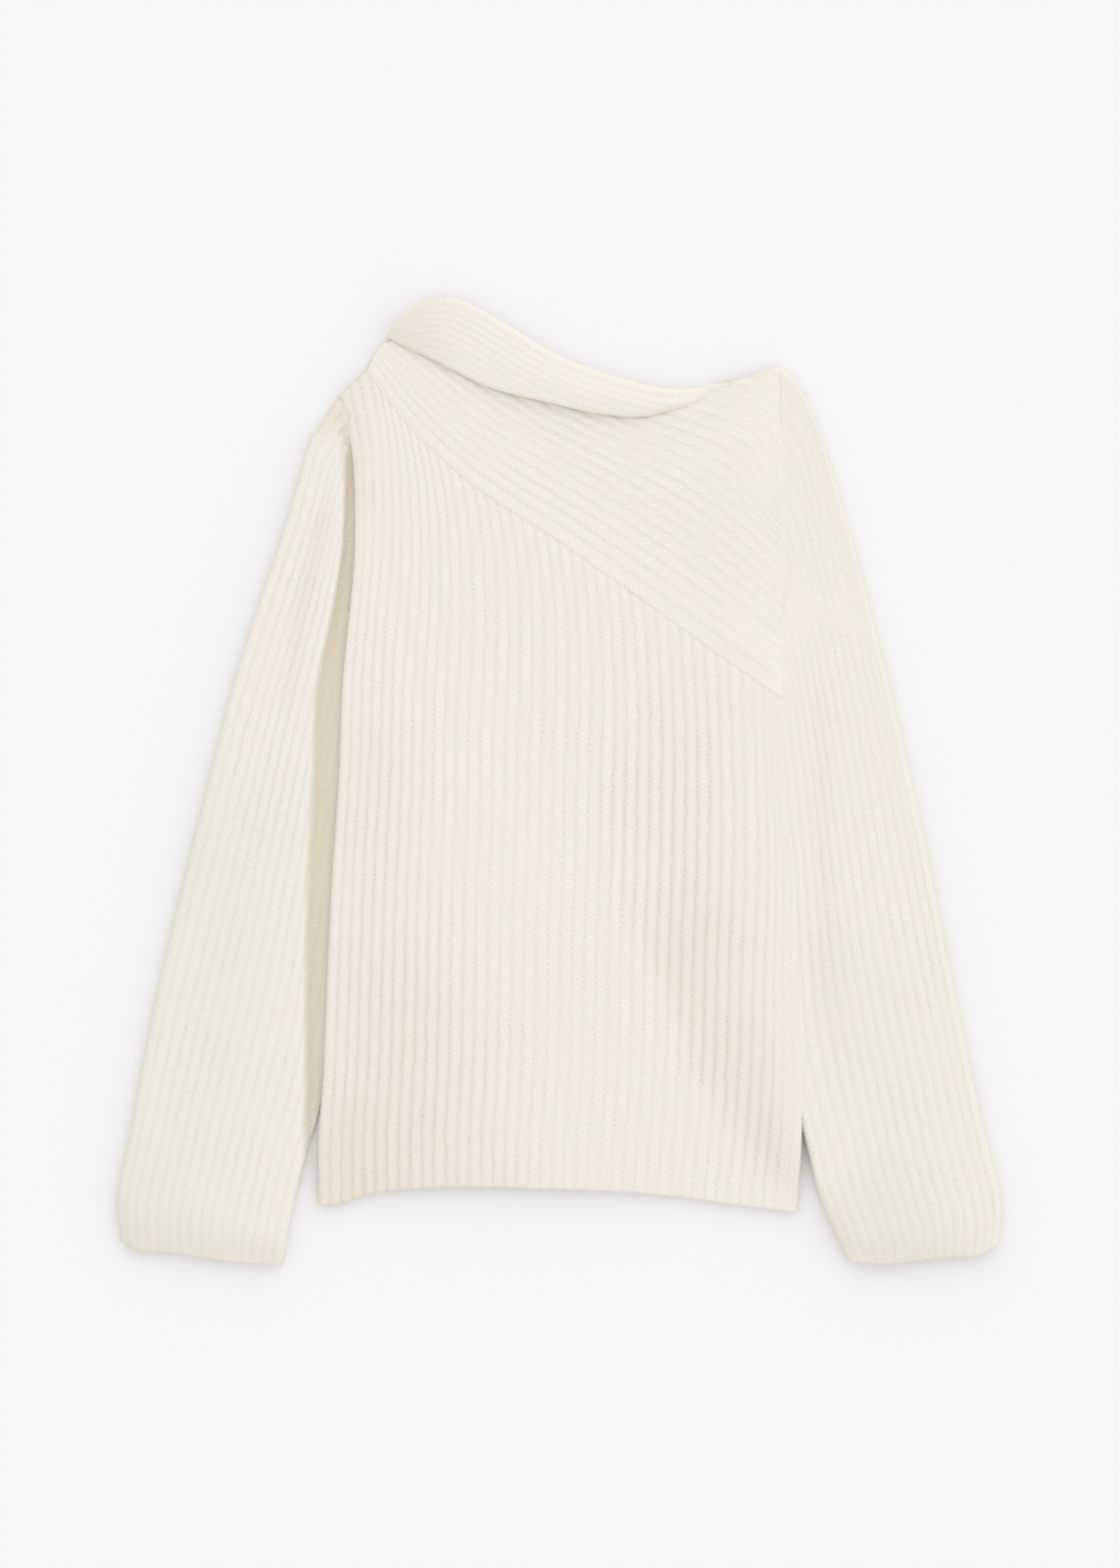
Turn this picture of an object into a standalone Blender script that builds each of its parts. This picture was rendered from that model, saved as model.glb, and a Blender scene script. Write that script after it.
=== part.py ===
"""Ribbed knit sweater, laid out flat on its back.

The frame is in metres with +Z up. The sweater lies on z = 0 with its neck towards +Y,
so +X is the wearer's left. A diagonal seam parts the plain front from a yoke whose ribs
follow it, and the rib collar is folded over at the neck.
"""

import bmesh
import bpy
import numpy as np

MM = 0.001

# Cloth, in millimetres
WALL = 3.0              # a plain wall of the knit, between its ribs' roots and its inside
RIB_HEIGHT = 1.4        # how far a rib stands up from the wall
COLLAR_WALL = 2.6
COLLAR_RIB_HEIGHT = 0.9
SEAM_GAP = 0.4          # between two pieces that are sewn edge to edge
INSIDE_GAP = 0.6        # between two layers where they are pressed together
INSIDE_LOFT = 0.6       # what the front gains over that gap away from its edges

# Ribs counted across each piece
FRONT_RIBS = 41
YOKE_RIBS = 16
SLEEVE_RIBS = 16
COLLAR_RIBS = 5

# Layers, in millimetres above the surface
SLEEVE_PRESSED = 6.1    # a sleeve's height under the edge of the body
SLEEVE_CROWN = 9.0      # and along its middle, to the roots of its ribs
SLEEVE_WALL = 2.8
SLEEVE_WIDTH = 107.0    # across its ribs
SLEEVE_ROUND = 7.0      # width of the roll at its outer fold
INNER_EDGE_SHARE = 0.35
INNER_ROLL = 0.1        # share of the width in which the free inner edge comes down
SLEEVE_FREE = -250.0    # below this the sleeve comes out from under the body
SLEEVE_FREE_RAMP = 40.0
PRESSED_RIB = 0.1       # share of a rib's height that is left where it is pressed
BODY_LIFT = 6.9         # how far the body's edge is carried by the sleeve under it
LIFT_SHELF = 12.0       # width of body that lies on the sleeve
LIFT_RAMP = 45.0        # width over which it comes down to the surface
COLLAR_UNDER = 4.2      # underside of the collar's hidden leg
COLLAR_OVER = 9.0       # underside of the band that is folded over
COLLAR_ROUND = 6.0      # width of the roll at the fold

# Outlines, in millimetres: points (x, y), or rows (fraction, x, y) where the fraction
# of the ribs that a point has passed isn't the fraction of the length
HEM = ((-179, -314), (-168, -314.5), (-145, -307), (-102.5, -301.5), (-8, -302),
       (79.5, -307), (137.5, -315), (176, -319.5))
BODY_LEFT = ((-179, -314), (-179, -268), (-175.5, -220), (-172.5, -147), (-169, -74.5),
             (-164, -1.5), (-160, 86), (-157, 115), (-152, 173.5), (-152, 202.5),
             (-153, 231.5), (-158.5, 268), (-163, 286))
BODY_RIGHT = ((176, -319.5), (179.5, -267), (180, -220), (177.5, -147), (176, -74.5),
              (169.5, -1.5), (166, 35), (165.5, 63.5))
RIGHT_SHOULDER = ((165.5, 307),)
RIGHT_ARMHOLE = ((165.5, 63.5), (165.3, 150), (165.3, 253))
FRONT_SHOULDER = ((-163, 286), (-152, 297), (-141, 307))
SHOULDER_SHARE = 0.077  # share of the front's ribs that end at the shoulder
SEAM = ((0, -141, 307), (0.046, -129, 289.5), (0.1, -114.5, 270), (0.194, -88, 242.5),
        (0.276, -59.5, 218.5), (0.361, -30.5, 198.5), (0.44, -3.5, 182), (0.527, 26, 161),
        (0.633, 62.5, 135.5), (0.724, 94, 113), (0.819, 126.5, 89.5), (0.879, 147, 75.5),
        (1, 165.5, 63.5))
NECKLINE_RIGHT = ((119.5, 292), (141, 301.5), (155, 306), (163, 305), (164.9, 296),
                  (165.3, 285), (165.3, 253))
SHOULDER_LEFT = ((-141, 307), (-136, 317.5), (-131, 325.5))
YOKE_SHOULDER_SHARE = 0.1

# The folded band: its fold, then its lower edge, from the left shoulder to its right tip
COLLAR = ((-113, 348.5, -129, 330.5), (-96, 358, -111.5, 321), (-78, 359, -95.5, 314),
          (-59, 351, -78.5, 305), (-40, 340, -59, 295.5), (-19, 327, -37, 288),
          (3, 315, -13, 282.5), (25.5, 306, 11.5, 276.5), (48, 299, 37, 272),
          (69, 293.5, 62, 271), (88, 291.5, 83.5, 276), (104, 292.5, 102, 281.5),
          (116, 295.5, 115, 288.5))
NECK_SEAM = 0.3         # share of the band's width that hangs below the neck seam
NECK_SEAM_GAP = 1.5     # hidden under the band
BACK_NECK_SEAM = 0.55

RIGHT_CUFF = ((-326, -340), (-318, -346), (-287.5, -350), (-248, -356), (-206, -359))
RIGHT_OUTER = ((-326, -340), (-328.5, -318), (-318, -256.5), (-296.5, -147), (-268.5, -30.5),
               (-238, 86), (-200, 202.5), (-191.5, 231.5), (-185, 253.5), (-175.5, 268),
               (-164.5, 286.5))
RIGHT_INNER = ((-206, -359), (-197.5, -314.5), (-188, -276.5), (-179.5, -249), (-170.5, -205.5),
               (-164.5, -147), (-158.5, -74.5), (-154, -1.5), (-151, 53))
RIGHT_SLEEVE_HEAD = ((0, -164.5, 286.5), (0.17, -159.8, 268), (0.29, -156.5, 253.5),
                     (0.38, -154, 231.5), (0.48, -151.5, 202.5), (0.69, -149, 144),
                     (0.87, -150, 86), (1, -151, 53))
LEFT_CUFF = ((326, -342), (317, -349), (287, -353), (239.5, -358), (214, -356))
LEFT_OUTER = ((326, -342), (328.5, -322), (315, -256.5), (292, -147), (268.5, -30.5),
              (241.5, 86), (211, 202.5), (193, 260.5), (186.5, 282.5), (175.5, 297),
              (167, 307))
LEFT_INNER = ((214, -356), (203, -332.5), (191.5, -303), (184.5, -274.5), (180.8, -249),
              (172, -200), (168, -147), (163.5, -90), (160, -38), (156, 20))
LEFT_SLEEVE_HEAD = ((0, 167, 307), (0.1, 166.8, 297), (0.21, 166.8, 282.5), (0.28, 166.8, 260.5),
                    (0.366, 166.8, 239), (0.464, 166.8, 202.5), (0.655, 166.8, 144),
                    (0.784, 166.8, 86), (0.856, 165, 52), (1, 156, 20))

# Where each side of the body starts to be carried, and where it is carried fully, from the
# shoulder down, then where that ends and where the hem is back on the surface
LIFT_LEFT = (288, 205, -262, -316)
LIFT_RIGHT = (130, 66, -262, -318)
RIGHT_VALLEY = 19.0     # width over which a sleeve dips towards the body's edge
LEFT_VALLEY = 10.0

# Steps of the hidden grids, in millimetres in from each side edge
SIDE_STEPS = (0, 4, 8, 12, 19, 26, 33, 41, 49, 58, 80, 120)
BACK_NECK_COLUMNS = 13
BODY_WIDTH = 350.0
ROLL_COLUMNS = (0, 0.008, 0.03)
PLAIN_COLUMNS = (0.12, 0.25, 0.45, 0.65, 0.8, 0.9)
HOLLOW_END = 0.96
FRONT_ROWS = (0, 0.006, 0.03, 0.06, 0.09, 0.12, 0.155, 0.22, 0.3, 0.4, 0.5, 0.6, 0.68, 0.76,
              0.83, 0.88, 0.92, 0.955, 0.993, 1)
BACK_ROWS = (0, 0.02, 0.045, 0.07, 0.1, 0.15, 0.25, 0.36, 0.48, 0.56, 0.6, 0.635, 0.67, 0.705,
             0.74, 0.79, 0.85, 0.9, 0.94, 0.97, 1)
SLEEVE_ROWS = (0, 0.012, 0.09, 0.15, 0.21, 0.28, 0.37, 0.47, 0.57, 0.66, 0.74, 0.82, 0.9, 0.96, 1)

CREAM = (0.871, 0.823, 0.737)
YOKE_CREAM = (0.88, 0.835, 0.752)
SLEEVE_CREAM = (0.838, 0.799, 0.703)
COLLAR_CREAM = (0.855, 0.807, 0.731)


def with_fractions(points):
    """Rows (fraction, x, y) in metres from points, or rows, in millimetres."""
    rows = np.array(points, dtype=float)
    if rows.shape[1] == 2:
        lengths = np.r_[0, np.cumsum(np.linalg.norm(np.diff(rows, axis=0), axis=1))]
        rows = np.column_stack((lengths / lengths[-1], rows))
    rows[:, 1:] *= MM
    return rows


def curve(rows, fractions):
    """A smooth curve through rows (fraction, values...), read at each fraction."""
    knots, values = rows[:, 0], rows[:, 1:]
    steps = np.diff(knots)[:, None]
    slopes = np.diff(values, axis=0) / steps
    inner = (slopes[:-1] * steps[1:] + slopes[1:] * steps[:-1]) / (steps[1:] + steps[:-1])
    tangents = np.vstack((slopes[:1], inner, slopes[-1:]))
    fractions = np.asarray(fractions, dtype=float)
    first = np.clip(np.searchsorted(knots, fractions, side="right") - 1, 0, len(knots) - 2)
    step = steps[first]
    t = ((fractions - knots[first]) / step[:, 0])[:, None]
    return ((2 * t**3 - 3 * t**2 + 1) * values[first] + (t**3 - 2 * t**2 + t) * step * tangents[first]
            + (3 * t**2 - 2 * t**3) * values[first + 1] + (t**3 - t**2) * step * tangents[first + 1])


def line(points, shift=(0, 0)):
    """A smooth outline through points, or rows, as a function of the fraction along it."""
    rows = with_fractions(points)
    return lambda fractions: curve(rows, fractions) + np.array(shift) * MM


def cornered(first, second, corner):
    """Two outlines that meet in a corner at one fraction."""
    def read(fractions):
        at = np.asarray(fractions, dtype=float)
        before = first(np.clip(at / corner, 0, 1))
        after = second(np.clip((at - corner) / (1 - corner), 0, 1))
        return np.where(at[:, None] < corner, before, after)
    return read


def patch(bottom, top, left, right, across, along):
    """A grid [along][across] of points (x, y) that fills the four outlines around it."""
    u, v = np.asarray(across), np.asarray(along)
    low, high, start, end = bottom(u)[None], top(u)[None], left(v)[:, None], right(v)[:, None]
    (low_start, low_end), (high_start, high_end) = bottom([0, 1]), top([0, 1])
    u, v = u[None, :, None], v[:, None, None]
    corners = (1 - v) * ((1 - u) * low_start + u * low_end) + v * ((1 - u) * high_start + u * high_end)
    return (1 - v) * low + v * high + (1 - u) * start + u * end - corners


def smooth(value):
    """An S-shaped step from 0 to 1 as the value goes from 0 to 1."""
    t = np.clip(value, 0, 1)
    return t * t * (3 - 2 * t)


def side_edge(points, y):
    """Where a side edge of the body lies across, at each y."""
    rows = np.array(points, dtype=float)[:, ::-1] * MM
    return curve(rows, np.clip(np.ravel(y), rows[0, 0], rows[-1, 0])).reshape(np.shape(y))


def lift(grid):
    """How far the body is carried by the sleeves that lie under its two side edges."""
    x, y = grid[..., 0], grid[..., 1]
    height = np.zeros_like(x)
    for side, edge, marks in ((-1, BODY_LEFT, LIFT_LEFT), (1, BODY_RIGHT, LIFT_RIGHT)):
        start, full, last, end = (mark * MM for mark in marks)
        inward = (side_edge(edge, y) - x) * side / MM
        fade = smooth((start - y) / (start - full)) * smooth((y - end) / (last - end))
        height += fade * (1 - smooth((inward - LIFT_SHELF) / LIFT_RAMP))
    return height * BODY_LIFT * MM


def rib_columns(ribs):
    """Fractions at every rib's root and crest."""
    return np.linspace(0, 1, 2 * ribs + 1)


def hidden_columns():
    """Fractions across the front's inside: each rib's root near the sides, then every other."""
    roots = np.arange(FRONT_RIBS + 1)
    near = np.minimum(roots, FRONT_RIBS - roots)
    return roots[(near < 7) | (near % 2 == 1)] / FRONT_RIBS


def crests(count):
    """1 on each crest and 0 on each root of the rib columns."""
    return np.arange(count) % 2


def raised(grid, height):
    """The grid of (x, y) with a height for each point."""
    height = np.broadcast_to(height, grid.shape[:2])
    return np.dstack((grid, height))


def away_from_rim(grid):
    """1 at each point of a grid but 0 on its outermost ones."""
    share = np.zeros(grid.shape[:2])
    share[1:-1, 1:-1] = 1
    return share


class Mesh:
    """Points and faces of one solid while it is put together."""

    def __init__(self):
        self.points = []
        self.faces = []

    def grid(self, points, closed=False):
        """Add a grid of quads and return the numbers of its points."""
        rows, columns = points.shape[:2]
        numbers = np.arange(rows * columns).reshape(rows, columns) + len(self.points)
        self.points += points.reshape(-1, 3).tolist()
        for i in range(rows - 1):
            for j in range(columns if closed else columns - 1):
                k = (j + 1) % columns
                self.faces.append((numbers[i, j], numbers[i, k], numbers[i + 1, k], numbers[i + 1, j]))
        return numbers

    def zip(self, first, second, first_at, second_at):
        """Join two rows of points by triangles, wherever their fractions meet."""
        i = j = 0
        while i < len(first) - 1 or j < len(second) - 1:
            ahead = j == len(second) - 1 or (i < len(first) - 1 and first_at[i + 1] <= second_at[j + 1])
            if ahead:
                self.faces.append((first[i], first[i + 1], second[j]))
                i += 1
            else:
                self.faces.append((first[i], second[j + 1], second[j]))
                j += 1

    def build(self, name, colour):
        """Make the object, with its faces out and its own material."""
        mesh = bpy.data.meshes.new(name)
        mesh.from_pydata(self.points, [], [tuple(int(n) for n in face) for face in self.faces])
        work = bmesh.new()
        work.from_mesh(mesh)
        bmesh.ops.recalc_face_normals(work, faces=work.faces)
        work.to_mesh(mesh)
        work.free()
        mesh.shade_smooth()
        mesh.set_sharp_from_angle(angle=np.radians(50))
        mesh.materials.append(knit(name + "_knit", colour))
        thing = bpy.data.objects.new(name, mesh)
        bpy.context.scene.collection.objects.link(thing)
        return thing


def knit(name, colour):
    """Cream wool knit."""
    material = bpy.data.materials.new(name)
    material.use_nodes = True
    shader = material.node_tree.nodes["Principled BSDF"]
    shader.inputs["Base Color"].default_value = (*colour, 1)
    shader.inputs["Roughness"].default_value = 0.9
    shader.inputs["Metallic"].default_value = 0
    return material


def slab(name, colour, upper, lower, upper_at, lower_at):
    """One sheet of cloth: an outer grid over an inner one, closed all round.

    Each grid comes with its fractions (along, across), which pair up the points of its
    four edges with those of the other grid.
    """
    mesh = Mesh()
    outer, inner = mesh.grid(upper), mesh.grid(lower)
    for row in (0, -1):
        mesh.zip(outer[row], inner[row], upper_at[1], lower_at[1])
    for column in (0, -1):
        mesh.zip(outer[:, column], inner[:, column], upper_at[0], lower_at[0])
    return mesh.build(name, colour)


def front_panel():
    """The plain front below the diagonal seam, its ribs running up from the hem."""
    top = cornered(line(FRONT_SHOULDER), line(SEAM), SHOULDER_SHARE)
    around = line(HEM), top, line(BODY_LEFT), line(BODY_RIGHT)
    across, hidden = rib_columns(FRONT_RIBS), hidden_columns()
    outer, inner = (patch(*around, columns, FRONT_ROWS) for columns in (across, hidden))
    return cloth("front_panel", CREAM, outer, inner, (FRONT_ROWS, across), (FRONT_ROWS, hidden))


def cloth(name, colour, outer, inner, outer_at, inner_at):
    """A ribbed panel of the upper layer, resting on the back and carried by the sleeves."""
    inside = WALL + INSIDE_GAP + INSIDE_LOFT * away_from_rim(inner)
    share = away_from_rim(outer)
    rim_top = WALL + INSIDE_GAP + WALL / 2
    top = rim_top + (WALL / 2 + INSIDE_LOFT + RIB_HEIGHT * crests(outer.shape[1])) * share
    upper = raised(outer, lift(outer) + top * MM)
    lower = raised(inner, lift(inner) + inside * MM)
    return slab(name, colour, upper, lower, outer_at, inner_at)


def band_line(share):
    """Points at one share of the band's width, from its lower edge (0) to its fold (1)."""
    rows = np.array(COLLAR, dtype=float)
    return rows[:, 2:] + share * (rows[:, :2] - rows[:, 2:])


def front_yoke():
    """The upper front, whose ribs leave the neck seam and end at the left armhole."""
    off = SEAM_GAP
    shoulder = line(SHOULDER_LEFT, (off, off))
    neck = line(np.vstack((SHOULDER_LEFT[-1:], band_line(NECK_SEAM)[1:], NECKLINE_RIGHT[:1])))
    left = cornered(shoulder, neck, YOKE_SHOULDER_SHARE)
    seam, top, right = line(SEAM, (off, off)), line(NECKLINE_RIGHT), line(RIGHT_ARMHOLE, (0, off))
    ribs, along = rib_columns(YOKE_RIBS), np.linspace(0, 1, 21)
    hidden = np.linspace(0, 1, YOKE_RIBS + 1)
    grids = [patch(seam, top, left, right, along, columns).transpose(1, 0, 2) for columns in (ribs, hidden)]
    return cloth("front_yoke", YOKE_CREAM, *grids, (along, ribs), (along, hidden))


def back_top():
    """The back's top edge as rows, and the fractions where its neck starts and ends."""
    start = ((-162, 285), (-140, 305))
    end = ((141, 299), (155, 304.5), (164, 303))
    rows = np.vstack((start, band_line(BACK_NECK_SEAM), end))
    at = with_fractions(rows)[:, 0]
    return np.column_stack((at, rows)), at[len(start)], at[-1 - len(end)]


def back_columns():
    """Fractions across the back: close together at the sides, then along the neck."""
    steps = np.array(SIDE_STEPS) / BODY_WIDTH
    start, end = back_top()[1:]
    return np.r_[steps[steps < start], np.linspace(start, end, BACK_NECK_COLUMNS),
                 1 - steps[steps < 1 - end][::-1]]


def back_panel():
    """The back, flat on the surface, under the front and the yoke."""
    inset = 1.0
    rows = back_top()[0]
    side = BODY_RIGHT + RIGHT_ARMHOLE[1:] + ((165, 303),)
    bottom = np.array(HEM) + (0, inset)
    bottom[0, 0] += inset
    bottom[-1, 0] -= inset
    left, right = np.array(BODY_LEFT) + (inset, 0), np.array(side) - (inset, 0)
    left[0], right[0], left[-1], right[-1] = bottom[0], bottom[-1], rows[0, 1:], rows[-1, 1:]
    across = back_columns()
    grid = patch(line(bottom), line(rows), line(left), line(right), across, BACK_ROWS)
    at = (BACK_ROWS, across)
    return slab("back_panel", CREAM, raised(grid, lift(grid) + WALL * MM), raised(grid, lift(grid)), at, at)


def back_collar():
    """The back of the collar, a plain strip beside the back's neckline."""
    rows, start, end = back_top()
    columns = back_columns()
    stations = columns[(columns > start - 1e-9) & (columns < end + 1e-9)]
    low = line(rows, (0, SEAM_GAP))(stations)
    high = line(band_line(0.95))((stations - start) / (end - start))
    across = np.linspace(0, 1, 3)
    grid = low[:, None] + (high - low)[:, None] * across[None, :, None]
    at = (stations, across)
    return slab("back_collar", COLLAR_CREAM, raised(grid, WALL * MM), raised(grid, 0), at, at)


def collar_section(width):
    """Rows (share of the width, height) around the folded band, for its outer and inner side."""
    over, under = COLLAR_OVER + COLLAR_WALL, COLLAR_UNDER
    turn = min(COLLAR_ROUND, 0.45 * width) / width
    wall = min(COLLAR_WALL, 0.3 * width) / width
    middle = (over + under) / 2
    ribs = [(0, COLLAR_OVER + COLLAR_WALL * 0.45)]
    for rib in range(COLLAR_RIBS):
        root = (rib + 1) / COLLAR_RIBS * (1 - turn)
        crest = (rib + 0.5) / COLLAR_RIBS * (1 - turn)
        ribs += [(crest, over + COLLAR_RIB_HEIGHT), (root, over)]
    seam = NECK_SEAM + NECK_SEAM_GAP / width
    outer = ribs + [(1 - 0.3 * turn, over - 1.0), (1, middle), (1 - 0.3 * turn, under + 1.0),
                    (1 - turn, under), (seam, under)]
    inner = [(0, COLLAR_OVER), (1 - turn, COLLAR_OVER), (1 - wall, middle),
             (1 - turn, under + COLLAR_WALL), (seam, under + COLLAR_WALL)]
    return np.array(outer), np.array(inner)


def collar():
    """The front of the collar: a band seamed to the yoke, folded over on itself."""
    stations = np.linspace(0, 1, 25)
    at = with_fractions(band_line(0.5))[:, 0]
    feet, folds = (line(np.column_stack((at, band_line(share))))(stations) for share in (0, 1))
    outer, inner = [], []
    for foot, fold in zip(feet, folds):
        width = np.linalg.norm(fold - foot) / MM
        for rows, section in zip((outer, inner), collar_section(width)):
            flat = foot + section[:, :1] * (fold - foot)
            rows.append(np.column_stack((flat, section[:, 1] * MM)))
    outer, inner = np.array(outer), np.array(inner)
    outer_at = np.linspace(0, 1, outer.shape[1])
    inner_at = outer_at[[0, 10, 12, 14, -1]]
    return slab("collar", COLLAR_CREAM, outer, inner, (stations, outer_at), (stations, inner_at))


def sleeve_crown(grid, across, side, valley):
    """How much of its crown a sleeve has at each point: none under the body's edge."""
    edge = BODY_LEFT if side < 0 else BODY_RIGHT + RIGHT_SHOULDER
    outward = (grid[..., 0] - side_edge(edge, grid[..., 1])) * side / MM
    free = smooth((SLEEVE_FREE - grid[..., 1] / MM) / SLEEVE_FREE_RAMP) * smooth((1 - across) / INNER_ROLL)
    return np.maximum(smooth((outward - 1) / valley), free)


def roll_share(across):
    """Share of the half height that the folds at both edges leave at each fraction."""
    reach = np.clip(across * SLEEVE_WIDTH / SLEEVE_ROUND, 0, 1)
    return np.where(across < 1, np.sqrt(1 - (1 - reach) ** 2), INNER_EDGE_SHARE)


def sleeve(name, outlines, side, valley):
    """A sleeve pressed flat, open at the cuff and at the armhole."""
    around = [line(points) for points in outlines]
    roll, middle = np.array(ROLL_COLUMNS), np.array(PLAIN_COLUMNS)
    ribbed = np.r_[roll, rib_columns(SLEEVE_RIBS)[2:]]
    crest = np.r_[0 * roll, crests(2 * SLEEVE_RIBS + 1)[2:]]
    plain = np.r_[roll, middle, 1]
    inside = np.r_[roll[-1], middle, HOLLOW_END]
    hollow_share = np.r_[0, np.ones(len(middle)), 0]

    def layers(across, wall, share, ribs):
        """The upper and the lower side at some fractions across, a wall in from the outside."""
        grid = patch(*around, across, SLEEVE_ROWS)
        crown = sleeve_crown(grid, across, side, valley)
        half = (SLEEVE_PRESSED + (SLEEVE_CROWN - SLEEVE_PRESSED) * crown) / 2
        reach = (half - wall) * share
        rise = ribs * RIB_HEIGHT * (PRESSED_RIB + (1 - PRESSED_RIB) * crown)
        return raised(grid, (half + reach + rise) * MM), raised(grid, (half - reach) * MM)

    top, low = layers(ribbed, 0, roll_share(ribbed), crest)[0], layers(plain, 0, roll_share(plain), 0)[1]
    outside = np.concatenate((top, low[:, :0:-1]), axis=1)
    top, low = layers(inside, SLEEVE_WALL, hollow_share, 0)
    hollow = np.concatenate((top, low[:, -2:0:-1]), axis=1)
    mesh = Mesh()
    outer, inner = mesh.grid(outside, closed=True), mesh.grid(hollow, closed=True)
    outer_at = np.r_[ribbed, 2 - plain[:0:-1], 2]
    inner_at = np.r_[0, middle, 1, 2 - middle[::-1], 2]
    for row in (0, -1):
        mesh.zip(np.r_[outer[row], outer[row, 0]], np.r_[inner[row], inner[row, 0]], outer_at, inner_at)
    return mesh.build(name, SLEEVE_CREAM)


def main():
    for thing in list(bpy.data.objects):
        bpy.data.objects.remove(thing, do_unlink=True)
    back_panel()
    back_collar()
    front_panel()
    front_yoke()
    collar()
    sleeve("right_sleeve", (RIGHT_CUFF, RIGHT_SLEEVE_HEAD, RIGHT_OUTER, RIGHT_INNER), -1, RIGHT_VALLEY)
    sleeve("left_sleeve", (LEFT_CUFF, LEFT_SLEEVE_HEAD, LEFT_OUTER, LEFT_INNER), 1, LEFT_VALLEY)


main()
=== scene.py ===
"""Looks of a ribbed knit sweater that lies flat on a pale ground, neck towards +Y."""

from typing import NamedTuple

import bmesh
import bpy
import numpy as np
from bpy.props import FloatProperty, IntProperty, PointerProperty, StringProperty
from bpy.types import Operator, Panel, PropertyGroup
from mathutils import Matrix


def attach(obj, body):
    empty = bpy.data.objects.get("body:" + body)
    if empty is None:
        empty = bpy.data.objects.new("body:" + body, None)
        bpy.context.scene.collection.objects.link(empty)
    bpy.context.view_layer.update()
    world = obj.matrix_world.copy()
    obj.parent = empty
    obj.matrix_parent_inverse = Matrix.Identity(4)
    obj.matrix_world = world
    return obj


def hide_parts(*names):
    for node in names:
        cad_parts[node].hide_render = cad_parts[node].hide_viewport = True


bl_info = {
    "name": "Ribbed sweater",
    "version": (1, 0, 0),
    "blender": (4, 5, 0),
    "location": "3D View > Sidebar > Sweater",
    "description": "Knits the panels, sleeves and collar of a ribbed sweater laid out flat",
    "category": "Object",
}

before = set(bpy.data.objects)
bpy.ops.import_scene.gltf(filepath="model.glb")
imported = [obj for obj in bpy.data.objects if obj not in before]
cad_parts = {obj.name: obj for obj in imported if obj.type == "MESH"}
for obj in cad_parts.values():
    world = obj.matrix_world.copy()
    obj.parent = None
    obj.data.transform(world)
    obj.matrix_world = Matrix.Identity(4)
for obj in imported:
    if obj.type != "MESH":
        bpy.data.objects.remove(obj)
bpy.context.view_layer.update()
MM = 0.001

# Ribs counted across each piece, and how far apart they are in millimetres
FRONT_RIBS = 41
SLEEVE_RIBS = 16
SLEEVE_PITCH = 8.6
YOKE_PITCH = 9.0
COLLAR_RIBS = 8
COLLAR_PITCH = 5.4
BACK_COLLAR_RIBS = 3

# Width and length that the fractions across and along each piece stand for, in metres
FRONT_SIZE = (0.35, 0.5)
YOKE_SIZE = (0.2, 0.33)
BACK_SIZE = (0.35, 0.6)
SLEEVE_SIZE = (0.107, 0.6)
COLLAR_LENGTH = 0.27
BACK_COLLAR_WIDTH = 0.02

# Points across the yoke, outside and inside, across the back and its neck, and across its collar,
# and how far apart the rows of points are, in metres, where they don't follow the courses
YOKE_POINTS = (181, 37)
BACK_POINTS = 161
BACK_NECK_POINTS = 60
BACK_COLLAR_POINTS = 9
YOKE_STEP = 0.0025
BACK_STEP = 0.012
COLLAR_STEP = 0.0022

# Outlines, in millimetres: points (x, y), or rows (fraction, x, y) where the fraction
# of the ribs that a point has passed isn't the fraction of the length. On the body, left and right
# are those of the frame, so BODY_LEFT is on the wearer's right. On the sleeves, they are the wearer's.
HEM = ((-179, -314), (-168, -314.5), (-145, -307), (-102.5, -301.5), (-8, -302),
       (79.5, -307), (137.5, -315), (176, -319.5))
BODY_LEFT = ((-179, -314), (-179, -268), (-175.5, -220), (-172.5, -147), (-169, -74.5),
             (-164, -1.5), (-160, 86), (-157, 115), (-152, 173.5), (-152, 202.5),
             (-153, 231.5), (-158.5, 268), (-163, 286))
BODY_RIGHT = ((176, -319.5), (179.5, -267), (180, -220), (177.5, -147), (176, -74.5),
              (169.5, -1.5), (166, 35), (165.5, 63.5))
RIGHT_SHOULDER = ((165.5, 307),)
RIGHT_ARMHOLE = ((165.5, 63.5), (166, 150), (166, 253))
FRONT_SHOULDER = ((-163, 286), (-152, 297), (-141, 307))
SHOULDER_SHARE = 0.077
SEAM = ((0, -141, 307), (0.046, -129, 289.5), (0.1, -114.5, 270), (0.194, -88, 242.5),
        (0.276, -59.5, 218.5), (0.361, -30.5, 198.5), (0.44, -3.5, 182), (0.527, 26, 161),
        (0.633, 62.5, 135.5), (0.724, 94, 113), (0.819, 126.5, 89.5), (0.879, 147, 75.5),
        (1, 165.5, 63.5))
NECKLINE_RIGHT = ((123, 294.8), (130.3, 297.5), (141, 301.8), (154, 306.8), (161, 308.6), (164.6, 306.5),
                  (165.8, 298), (166, 285), (166, 253))
SHOULDER_LEFT = ((-141, 307), (-136, 317.5), (-131, 325.5))
YOKE_SHOULDER_SHARE = 0.12

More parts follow.
